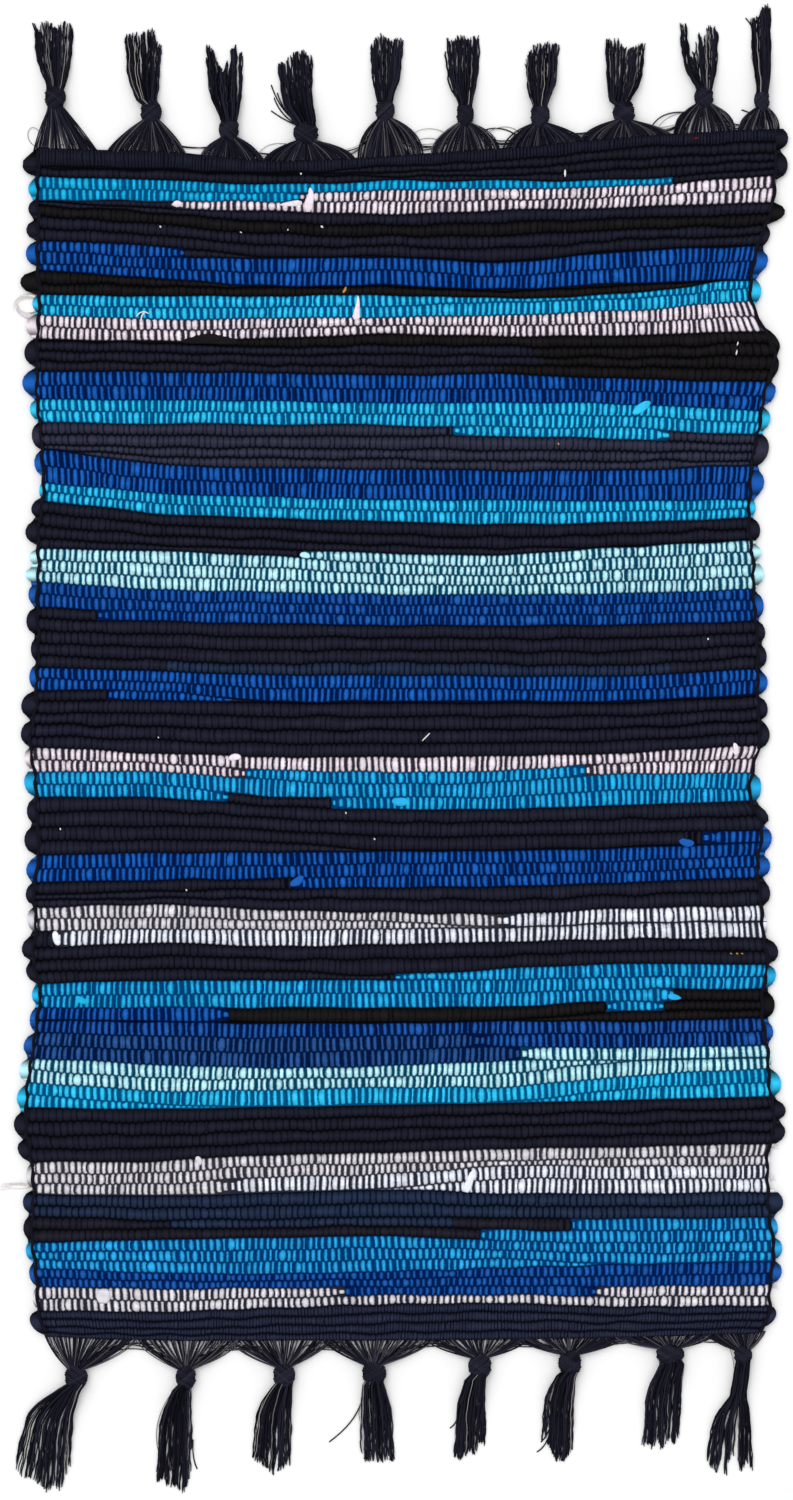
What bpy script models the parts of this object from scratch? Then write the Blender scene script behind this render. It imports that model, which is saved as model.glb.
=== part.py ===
"""A flat rag rug with knotted warp tassels at both ends.

Metres, +Z up. The rug lies on z = 0 with its face up. X runs across it and Y along it.
The woven body is one solid with a rib for each pick of rag weft and loops along its selvages.
Each tassel is one solid: a fan of warp ends, an overhand knot and the loose ends.
"""

import math
import random

import bmesh
import bpy
from mathutils import Vector

MM = 0.001

# Thickness of the cloth, in millimetres.
CREST_Z = 6.5
VALLEY_Z = 4.3
LOOP_VALLEY_Z = 5.3
PUFF_Z = 5.9
RIM_Z = 3.1
UNDER_VALLEY_Z = 1.5
END_RIM_Z = 3.0

# Where the two shoulders of a rib lie across its width.
SHOULDERS = (0.28, 0.72)

# The far end's line at the left edge, the middle and the right edge, in millimetres along Y.
TOP_LINE = (484, 481, 501)
STATION_X = 292.0

# A shallow sag of the far end's line: where, how deep, how wide, and over how many picks it fades.
SAG_X = -100.0
SAG_DEPTH = 5.0
SAG_WIDTH = 75.0
SAG_PICKS = 5

# Stripes from the far end to the near one: colour, picks, and the lower edge's Y in
# millimetres at the left edge, the middle and the right edge.
STRIPES = [
    ("hem navy", 2, 463, 460, 476),
    ("cyan", 1, 454, 453, 464),
    ("pale pink", 2, 444, 434, 441),
    ("navy", 4, 411, 400, 407),
    ("royal", 2, 388, 376, 380),
    ("black", 1, 370, 366, 376),
    ("bright cyan", 2, 351, 350, 361),
    ("pale pink", 2, 334, 335, 343),
    ("navy", 3, 307, 303, 299),
    ("royal", 2, 284, 282, 275),
    ("bright cyan", 2, 264, 262, 257),
    ("slate navy", 3, 241, 226, 229),
    ("royal", 2, 217, 202, 205),
    ("bright cyan", 2, 202, 184, 187),
    ("navy", 3, 162, 158, 165),
    ("pale aqua", 4, 134, 125, 130),
    ("cobalt", 3, 112, 100, 104),
    ("night navy", 3, 79, 69, 75),
    ("slate", 1, 71, 62, 65),
    ("royal", 2, 48, 38, 43),
    ("night navy", 5, 2, -5, 0),
    ("pale pink", 2, -19, -19, -19),
    ("cerulean", 2, -39, -48, -42),
    ("night navy", 3, -78, -82, -69),
    ("royal", 3, -109, -112, -106),
    ("night navy", 2, -126, -130, -127),
    ("warm grey", 2, -147, -145, -142),
    ("cool white", 1, -158, -158, -153),
    ("navy", 3, -186, -185, -176),
    ("cerulean", 3, -208, -210, -200),
    ("royal", 3, -230, -230, -236),
    ("denim", 2, -252, -252, -246),
    ("pale aqua", 2, -271, -274, -263),
    ("bright cyan", 2, -292, -290, -284),
    ("navy", 4, -334, -326, -319),
    ("warm grey", 2, -348, -343, -337),
    ("cool white", 2, -361, -359, -356),
    ("denim navy", 3, -380, -386, -377),
    ("brown black", 1, -391, -395, -385),
    ("cerulean", 3, -417, -423, -416),
    ("cobalt", 2, -437, -440, -433),
    ("warm white", 2, -455, -453, -452),
    ("hem navy", 3, -475, -480, -474),
]

# The outermost warps, in millimetres: Y, and X of the left one and of the right one.
EDGES = [
    (485, -293, 305),
    (445, -293, 303),
    (404, -293, 290),
    (364, -292, 285),
    (343, -292, 294),
    (323, -294, 303),
    (283, -293, 294),
    (250, -290, 289),
    (218, -288, 284),
    (185, -291, 283),
    (145, -293, 286),
    (104, -293, 288),
    (40, -294, 290),
    (7, -298, 292),
    (-13, -297, 286),
    (-41, -294, 285),
    (-58, -293, 292),
    (-90, -293, 290),
    (-122, -296, 292),
    (-171, -296, 298),
    (-195, -291, 294),
    (-220, -293, 294),
    (-252, -298, 298),
    (-276, -301, 300),
    (-309, -303, 303),
    (-333, -298, 298),
    (-406, -297, 303),
    (-438, -293, 300),
    (-475, -290, 294),
]

# Selvage loops, in millimetres outside the outermost warp.
LOOP_NOTCH = 2.5
LOOP_REACH = 6.0
LOOP_SWELL = (0.8, 1.2)
PUFF_SHARE = 0.72
# How far out each of a two-pick loop's six lines stands, as a share of its reach.
LOOP_OUTLINE = (0.0, 0.72, 0.96, 1.0, 0.96, 0.72)
LINES_PER_PICK = 3
PICKS_PER_LOOP = 2

# Inner columns of the face and of the underside, as shares of the half width.
FACE_COLUMNS = (-0.38, 0.06, 0.5)

# The face's columns that the underside has too, and which of them each underside strip spans.
UNDER_COLUMNS = (1, 3, 4, 5, 7)
UNDER_SPANS = ((0, 1), (1, 3), (3, 4), (4, 5), (5, 7), (7, 8))

# Tassels, in millimetres: name, knot x, knot y, fan's left and right x at the cloth,
# the leftmost end's x and y, and the rightmost end's x and y.
TASSELS = [
    ("top_1", -280, 528, -297, -241, -298, 586, -264, 591),
    ("top_2", -202, 515, -236, -172, -225, 576, -192, 583),
    ("top_3", -137, 502, -160, -113, -158, 566, -126, 571),
    ("top_4", -76, 498, -110, -36, -103, 539, -69, 566),
    ("top_5", -12, 516, -33, 20, -24, 570, 3, 580),
    ("top_6", 54, 514, 23, 81, 37, 575, 65, 579),
    ("top_7", 114, 514, 88, 148, 101, 560, 133, 574),
    ("top_8", 183, 515, 151, 218, 166, 570, 199, 576),
    ("top_9", 247, 527, 220, 272, 228, 581, 259, 590),
    ("top_10", 295, 526, 275, 308, 285, 591, 301, 603),
    ("bottom_1", -262, -509, -288, -216, -313, -582, -264, -603),
    ("bottom_2", -173, -511, -213, -138, -200, -590, -163, -603),
    ("bottom_3", -94, -507, -136, -62, -120, -574, -86, -589),
    ("bottom_4", -21, -508, -56, 19, -34, -570, -4, -578),
    ("bottom_5", 65, -500, 22, 95, 43, -564, 70, -576),
    ("bottom_6", 139, -500, 98, 176, 112, -568, 141, -578),
    ("bottom_7", 220, -492, 183, 252, 197, -562, 230, -568),
    ("bottom_8", 278, -492, 260, 295, 249, -584, 288, -591),
]

# The gap between a fan and the cloth's end, in millimetres.
FAN_GAP = 0.3

# Sections of a tassel from the cloth to just past its knot. Columns: how far along from the
# cloth (0) to the knot (1), millimetres added to that, half width as a share of the fan's,
# half width added in millimetres, height in millimetres, and roundness from web to knot.
SECTIONS = [
    (0.0, 0.0, 1.0, 0.0, 2.2, 0.0),
    (0.5, 0.0, 0.52, 2.0, 2.8, 0.15),
    (1.0, -10.0, 0.0, 6.8, 5.0, 0.6),
    (1.0, -5.0, 0.0, 9.3, 9.6, 1.0),
    (1.0, 4.0, 0.0, 9.6, 10.4, 1.0),
    (1.0, 9.5, 0.0, 7.6, 5.6, 1.0),
]
RIDGE_DIP = 0.5
WEB_FALL = 0.35
WEB_EDGE_Z = 0.7
ROUND_EDGE_SHARE = 0.4
WEB_BASE_SHARE = 0.94
ROUND_BASE_SHARE = 0.62
BASE_INSET = 0.85
KNOT_BEND = 20.0

# Loose ends of a tassel. They leave the collar side by side and come down onto the floor.
STRANDS = 10
SLIM_STRANDS = 7
SLIM_WIDTH = 20.0
ROOT_BEYOND = 4.5
ROOT_HALF = 8.2
SLIM_ROOT_HALF = 5.8
ROOT_Z = 1.0
STRAND_DROP = 6.0
STRAND_WIDTH = 1.2
STRAND_HEIGHT = 1.3
STRAND_SPREAD = 0.5
TIP_JITTER = 4.0

SEED = 7

# Look of the plain solids.
CLOTH_COLOR = (0.03, 0.16, 0.34, 1.0)
WARP_COLOR = (0.02, 0.02, 0.035, 1.0)
COTTON_ROUGHNESS = 0.9


def clear_scene():
    for old in list(bpy.data.objects):
        bpy.data.objects.remove(old, do_unlink=True)


def new_collection(name, parent):
    made = bpy.data.collections.new(name)
    parent.children.link(made)
    return made


def cotton(name, color):
    made = bpy.data.materials.new(name)
    made.use_nodes = True
    shader = made.node_tree.nodes["Principled BSDF"]
    shader.inputs["Base Color"].default_value = color
    shader.inputs["Roughness"].default_value = COTTON_ROUGHNESS
    return made


def between(x, table, column):
    """The table's column at x, on straight lines between its rows."""
    rows = sorted(table)
    if x <= rows[0][0]:
        return rows[0][column]
    for low, high in zip(rows, rows[1:]):
        if x <= high[0]:
            share = (x - low[0]) / (high[0] - low[0])
            return low[column] + (high[column] - low[column]) * share
    return rows[-1][column]


def across(x, left, middle, right):
    """A line's Y at x, on the parabola through its three stations."""
    u = x / STATION_X
    return middle + (right - left) / 2 * u + ((left + right) / 2 - middle) * u * u


def stripe_lines():
    """Y at the three stations, for each pick's valley and two shoulders and for the last valley."""
    lines = []
    above = TOP_LINE
    for _, picks, *below in STRIPES:
        for pick in range(picks):
            for part in (0.0,) + SHOULDERS:
                share = (pick + part) / picks
                lines.append(tuple(a + (b - a) * share for a, b in zip(above, below)))
        above = below
    lines.append(tuple(above))
    return lines


def line_y(x, line, number):
    fade = max(0.0, 1.0 - number / (SAG_PICKS * LINES_PER_PICK))
    sag = SAG_DEPTH * math.exp(-(((x - SAG_X) / SAG_WIDTH) ** 2)) * fade
    return across(x, *line) - sag


def loop_reach(number, offset, swell):
    """How far the rim stands outside the warp at a line, and whether the line is in a loop."""
    length = LINES_PER_PICK * PICKS_PER_LOOP
    place = number + offset * LINES_PER_PICK
    bump = LOOP_OUTLINE[place % length]
    size = LOOP_REACH * swell[place // length]
    return LOOP_NOTCH + size * bump, bump > 0


def face_z(number, in_loop):
    if number % LINES_PER_PICK:
        return CREST_Z
    return LOOP_VALLEY_Z if in_loop else VALLEY_Z


def body_rows(lines):
    """For each line, the face's points from rim to rim."""
    maker = random.Random(SEED)
    loops = len(lines) // (LINES_PER_PICK * PICKS_PER_LOOP) + 2
    swells = [[maker.uniform(*LOOP_SWELL) for _ in range(loops)] for _ in range(2)]
    rows = []
    for number, line in enumerate(lines):
        at_end = number in (0, len(lines) - 1)
        left = between(line[0], EDGES, 1)
        right = between(line[2], EDGES, 2)
        left_out, left_in_loop = loop_reach(number, 0, swells[0])
        right_out, right_in_loop = loop_reach(number, 1, swells[1])
        if at_end:
            left_out = LOOP_NOTCH
            right_out = LOOP_NOTCH
        half = (right - left) / 2
        middle = (right + left) / 2
        plan = [(left - left_out, RIM_Z), (left - left_out * PUFF_SHARE, PUFF_Z)]
        plan.append((left, face_z(number, left_in_loop)))
        for share in FACE_COLUMNS:
            plan.append((middle + half * share, face_z(number, False)))
        plan.append((right, face_z(number, right_in_loop)))
        plan += [(right + right_out * PUFF_SHARE, PUFF_Z), (right + right_out, RIM_Z)]
        if at_end:
            plan = [(x, END_RIM_Z) for x, _ in plan]
        rows.append([Vector((x, line_y(x, line, number), z)) * MM for x, z in plan])
    return rows


def under_row(row, number):
    """The underside's points between the rims of one line, flat on the floor under a rib."""
    height = 0.0 if number % LINES_PER_PICK else UNDER_VALLEY_Z
    return [Vector((row[k].x, row[k].y, height * MM)) for k in UNDER_COLUMNS]


def woven_body(lines, material):
    rows = body_rows(lines)
    mesh = bmesh.new()
    face = [[mesh.verts.new(p) for p in row] for row in rows]
    under = []
    for number, row in enumerate(rows[1:-1], start=1):
        middle = [mesh.verts.new(p) for p in under_row(row, number)]
        under.append([face[number][0]] + middle + [face[number][-1]])
    for upper, lower in zip(face, face[1:]):
        for a, b, c, d in zip(upper, lower, lower[1:], upper[1:]):
            mesh.faces.new((a, b, c, d))
    for upper, lower in zip(under, under[1:]):
        for a, b, c, d in zip(upper, lower, lower[1:], upper[1:]):
            mesh.faces.new((d, c, b, a))
    for end, near, flip in ((face[0], under[0], False), (face[-1], under[-1], True)):
        for (start, stop), a, b in zip(UNDER_SPANS, near, near[1:]):
            loop = [a, b] + end[start : stop + 1][::-1]
            mesh.faces.new(loop[::-1] if flip else loop)
    return finish_solid(mesh, "woven_body", material), rows


def finish_solid(mesh, name, material):
    bmesh.ops.triangulate(mesh, faces=mesh.faces[:])
    bmesh.ops.recalc_face_normals(mesh, faces=mesh.faces[:])
    data = bpy.data.meshes.new(name)
    mesh.to_mesh(data)
    mesh.free()
    data.materials.append(material)
    return bpy.data.objects.new(name, data)


def end_line(row):
    """Y of the cloth's end at any x, in millimetres, along the body's own edge."""
    points = sorted((p.x / MM, p.y / MM) for p in row)

    def edge(x):
        return between(x, points, 1)

    return edge


def section_points(center, direction, half, height, roundness, count):
    """One closed section of a tassel: its upper points from left to right, then two on the floor."""
    side = rightward(direction)
    upper = []
    for k in range(count):
        share = 2 * k / (count - 1) - 1
        turn = math.pi * (1 - k / (count - 1))
        arch = 1 - WEB_FALL * share * share
        ridge = height * arch * (1.0 if k % 2 else RIDGE_DIP)
        web_z = WEB_EDGE_Z if abs(share) == 1 else ridge
        edge_z = ROUND_EDGE_SHARE * height
        round_z = edge_z + (height - edge_z) * math.sin(turn)
        place = (1 - roundness) * share + roundness * math.cos(turn)
        z = (1 - roundness) * web_z + roundness * round_z
        spot = center + side * (place * half)
        upper.append([spot.x, spot.y, z])
    base = (1 - roundness) * WEB_BASE_SHARE + roundness * ROUND_BASE_SHARE
    lower = []
    for share in (base, -base):
        spot = center + side * (share * half)
        lower.append([spot.x, spot.y, 0.0])
    return upper + lower


def rightward(direction):
    """The floor direction square to this one that points towards +X."""
    side = Vector((direction.y, -direction.x))
    return side if side.x > 0 else -side


def ring_of(mesh, points):
    return [mesh.verts.new(Vector(p) * MM) for p in points]


def bridge(mesh, first, second):
    count = len(first)
    for k in range(count):
        after = (k + 1) % count
        mesh.faces.new((first[k], first[after], second[after], second[k]))


def fan_and_knot(mesh, row, edge, count):
    """The web of warps from the cloth's end to the knot, the knot and its collar.

    Returns the collar's ring, where it lies and the way that the loose ends leave it.
    """
    _, knot_x, knot_y, fan_left, fan_right, left_x, left_y, right_x, right_y = row
    knot = Vector((knot_x, knot_y))
    root = Vector(((fan_left + fan_right) / 2, edge((fan_left + fan_right) / 2)))
    fan_half = (fan_right - fan_left) / 2
    tip = Vector(((left_x + right_x) / 2, (left_y + right_y) / 2))
    out = 1.0 if knot_y > 0 else -1.0
    inward = (knot - root).normalized()
    outward = (tip - knot).normalized()
    rings = []
    for along, added, share, extra, height, roundness in SECTIONS:
        turned = inward.lerp(outward, max(0.0, min(1.0, 0.5 + added / KNOT_BEND))).normalized()
        direction = turned if along == 1.0 else Vector((0.0, out))
        center = root.lerp(knot, along) + (outward if added > 0 else inward) * added
        half = fan_half * share + extra
        points = section_points(center, direction, half, height, roundness, count + 1)
        if along == 0.0:
            for point in points:
                point[1] = edge(point[0]) + out * FAN_GAP
        rings.append(ring_of(mesh, points))
    for first, second in zip(rings, rings[1:]):
        bridge(mesh, first, second)
    mesh.faces.new(rings[0])
    return rings[-1], center, outward


def strand_ring(spot, z, direction, wide):
    side = rightward(direction) * (wide / 2)
    left, right = spot - side, spot + side
    return [(left.x, left.y, z), (spot.x, spot.y, z + STRAND_HEIGHT), (right.x, right.y, z)]


def loose_ends(mesh, collar, center, outward, row, count, root_half):
    """The loose ends, each grown out of the collar between two of its upper points."""
    name, _, _, _, _, left_x, left_y, right_x, right_y = row
    maker = random.Random(name)
    root = center + outward * ROOT_BEYOND
    side = rightward(outward)
    roots = []
    for k in range(count):
        share = (k + 0.5) / count
        start = root + side * (root_half * (2 * share - 1))
        tip = Vector((left_x, left_y)).lerp(Vector((right_x, right_y)), k / (count - 1))
        tip += outward * maker.uniform(-TIP_JITTER, TIP_JITTER)
        lead = start + outward * STRAND_DROP
        spread = lead.lerp(tip, STRAND_SPREAD) + outward * (STRAND_DROP / 2)
        way = (tip - spread).normalized()
        rings = [
            ring_of(mesh, strand_ring(start, ROOT_Z, outward, STRAND_WIDTH)),
            ring_of(mesh, strand_ring(lead, 0.0, (spread - start).normalized(), STRAND_WIDTH)),
            ring_of(mesh, strand_ring(spread, 0.0, way, STRAND_WIDTH)),
            ring_of(mesh, strand_ring(tip, 0.0, way, STRAND_WIDTH)),
        ]
        for first, second in zip(rings, rings[1:]):
            bridge(mesh, first, second)
        mesh.faces.new(rings[-1])
        roots.append(rings[0])
    join_to_collar(mesh, collar, roots, root, side, root_half)


def join_to_collar(mesh, collar, roots, root, side, root_half):
    upper, (right_base, left_base) = collar[:-2], collar[-2:]
    for k, (left, top, right) in enumerate(roots):
        mesh.faces.new((upper[k], top, left))
        mesh.faces.new((upper[k], upper[k + 1], top))
        mesh.faces.new((upper[k + 1], right, top))
        if k + 1 < len(roots):
            mesh.faces.new((upper[k + 1], roots[k + 1][0], right))
    corners = []
    for share in (1, -1):
        spot = root + side * (share * root_half * BASE_INSET)
        corners.append(mesh.verts.new(Vector((spot.x, spot.y, 0.0)) * MM))
    right_foot, left_foot = corners
    mesh.faces.new((upper[-1], right_base, right_foot, roots[-1][2]))
    mesh.faces.new((left_base, upper[0], roots[0][0], left_foot))
    mesh.faces.new((right_base, left_base, left_foot, right_foot))
    line = []
    for left, _, right in roots:
        line += [left, right]
    half = len(line) // 2
    for a, b in zip(line[:half], line[1:half]):
        mesh.faces.new((left_foot, a, b))
    mesh.faces.new((left_foot, line[half - 1], right_foot))
    for a, b in zip(line[half - 1 : -1], line[half:]):
        mesh.faces.new((right_foot, a, b))


def tassel(row, edge, material):
    name, _, _, _, _, left_x, _, right_x, _ = row
    slim = abs(right_x - left_x) < SLIM_WIDTH
    count = SLIM_STRANDS if slim else STRANDS
    root_half = SLIM_ROOT_HALF if slim else ROOT_HALF
    mesh = bmesh.new()
    collar, center, outward = fan_and_knot(mesh, row, edge, count)
    loose_ends(mesh, collar, center, outward, row, count, root_half)
    return finish_solid(mesh, "tassel_" + name, material)


def centre_on_floor(objects):
    """Moves every solid so that the box around them all is centred on the origin."""
    bpy.context.view_layer.update()
    graph = bpy.context.evaluated_depsgraph_get()
    points = []
    for obj in objects:
        shown = obj.evaluated_get(graph)
        points += [shown.matrix_world @ v.co for v in shown.data.vertices]
    low_x, high_x = min(p.x for p in points), max(p.x for p in points)
    low_y, high_y = min(p.y for p in points), max(p.y for p in points)
    shift = Vector(((low_x + high_x) / 2, (low_y + high_y) / 2, 0.0))
    for obj in objects:
        obj.location -= shift
    bpy.context.view_layer.update()


def main():
    clear_scene()
    rug = new_collection("rag_rug", bpy.context.scene.collection)
    cloth = cotton("rag_cotton", CLOTH_COLOR)
    warp = cotton("warp_cotton", WARP_COLOR)
    body, rows = woven_body(stripe_lines(), cloth)
    rug.objects.link(body)
    made = [body]
    far_edge, near_edge = end_line(rows[0]), end_line(rows[-1])
    for row in TASSELS:
        edge = far_edge if row[2] > 0 else near_edge
        solid = tassel(row, edge, warp)
        rug.objects.link(solid)
        made.append(solid)
    centre_on_floor(made)


main()
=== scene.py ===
import math
import random

import bpy
import numpy as np
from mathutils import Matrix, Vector


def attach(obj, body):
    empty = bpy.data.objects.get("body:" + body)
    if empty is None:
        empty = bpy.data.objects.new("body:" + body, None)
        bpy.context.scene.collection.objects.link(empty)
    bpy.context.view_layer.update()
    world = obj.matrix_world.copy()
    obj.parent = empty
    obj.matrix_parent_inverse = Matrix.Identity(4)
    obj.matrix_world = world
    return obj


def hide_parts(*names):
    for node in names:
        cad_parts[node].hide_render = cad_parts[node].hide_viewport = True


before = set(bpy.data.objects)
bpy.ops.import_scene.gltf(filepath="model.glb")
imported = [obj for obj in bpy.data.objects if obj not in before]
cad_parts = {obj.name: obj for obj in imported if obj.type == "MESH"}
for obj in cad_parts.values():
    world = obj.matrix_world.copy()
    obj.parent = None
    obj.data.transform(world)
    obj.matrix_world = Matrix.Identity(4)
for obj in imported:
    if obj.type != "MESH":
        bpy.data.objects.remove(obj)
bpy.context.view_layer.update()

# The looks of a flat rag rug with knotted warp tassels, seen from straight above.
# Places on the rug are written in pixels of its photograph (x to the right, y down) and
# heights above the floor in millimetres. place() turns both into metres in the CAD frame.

PIXEL = 0.00081
ORIGIN_X = 399.92
ORIGIN_Y = 748.3
MM = 0.001
PHOTO_WIDTH = 793
PHOTO_HEIGHT = 1500

# Heights of the cloth above the floor, in millimetres: the face's crests and the lines between
# picks, how deep the gaps at the warps dip, the loops' tops, the rim that the face and the
# underside share, and the lowest and highest lines of the underside.
CREST = 6.3
VALLEY = 3.6
GAP_DIP = 0.8
PUFF = 5.8
RIM = 3.1
UNDER_CREST = 0.15
UNDER_VALLEY = 1.5

# The weave's grid: cells across the cloth, and the mesh's columns and rows in them.
CELLS = 114
CELL_WIDTH = 6.4
COLUMNS_PER_CELL = 4
UNDER_COLUMNS_PER_CELL = 2
ROWS_PER_PICK = 3
LOOP_COLUMNS = 6

# How far, in photo pixels, cells reach between those of the next pick, how thin a pick gets,
# how far the lines between picks wander, and the room over which cells keep upright or slanted.
INTERLOCK = 0.4
THINNEST_PICK = 0.35
WOBBLE, WOBBLE_LENGTH = 0.7, 90
DARK_WOBBLE, DARK_WOBBLE_LENGTH = 0.9, 55
SLANT_CELLS = 22

# How unlike the cells are, as shares of one: how dark gaps are and how much that and the cells'
# lightness vary, how far each gap strays, and how many cells are wide, how much lighter those
# are and how far they push their gaps.
GAP_STRENGTH = 0.97
STRENGTH_SPREAD = 0.15
TONE_SPREAD = 0.06
WIDE_TONE = 0.05
GAP_STRAY = 0.13
WIDE_SHARE = 0.1
WIDE_PUSH = 0.19
MOST_STRAY = 0.4

# Rag colours as 0 to 255 sRGB: the crest of a cell, and the colour between cells, the dark warp
# there with painted shade.
RAGS = {
    "header": ((29, 31, 45), (8, 9, 18)),
    "hem": ((29, 29, 41), (7, 8, 17)),
    "low hem": ((40, 44, 64), (11, 13, 29)),
    "cyan": ((32, 180, 229), (0, 78, 126)),
    "bright": ((52, 197, 243), (0, 76, 124)),
    "aqua": ((192, 245, 255), (14, 66, 94)),
    "cerulean": ((42, 176, 232), (0, 62, 114)),
    "azure": ((46, 165, 226), (0, 54, 110)),
    "pink": ((240, 227, 238), (44, 40, 52)),
    "white": ((238, 242, 255), (38, 42, 54)),
    "cream": ((226, 222, 230), (40, 40, 52)),
    "grey": ((222, 219, 227), (50, 48, 57)),
    "royal": ((29, 93, 181), (1, 23, 72)),
    "cobalt": ((33, 91, 172), (0, 27, 82)),
    "indigo": ((35, 88, 167), (0, 19, 66)),
    "denim": ((43, 85, 148), (2, 21, 60)),
    "slate": ((49, 51, 69), (9, 13, 28)),
    "ink": ((36, 48, 73), (4, 13, 31)),
    "brown": ((33, 32, 43), (9, 10, 20)),
    "navy": ((31, 32, 46), (7, 8, 16)),
    "night": ((33, 34, 49), (7, 9, 18)),
    "black": ((26, 24, 26), (5, 5, 6)),
    "lint_and_glint": ((238, 234, 228), (150, 148, 144)),
    "fluff": ((250, 247, 244), (222, 217, 219)),
    "lilac": ((218, 208, 217), (170, 158, 170)),
    "gold": ((190, 142, 70), (90, 62, 24)),
    "red": ((120, 26, 34), (60, 10, 16)),
}

# Rags that are packed so close that their cells hardly show, rags with two cells between warps,
# and how deep the gaps between each rag's cells are. The depth of the others is 1.
SMOOTH_RAGS = ("header", "hem", "low hem", "slate", "ink", "brown", "navy", "night", "black")
SMOOTH_DEPTH = 0.46
FINE_RAGS = ("header", "low hem")
DEPTHS = {name: SMOOTH_DEPTH for name in SMOOTH_RAGS}
DEPTHS |= {name: 0.93 for name in ("pink", "white", "cream", "grey", "aqua")}
DEPTHS |= {"header": 0.7, "low hem": 0.62, "ink": 0.58, "slate": 0.5}

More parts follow.
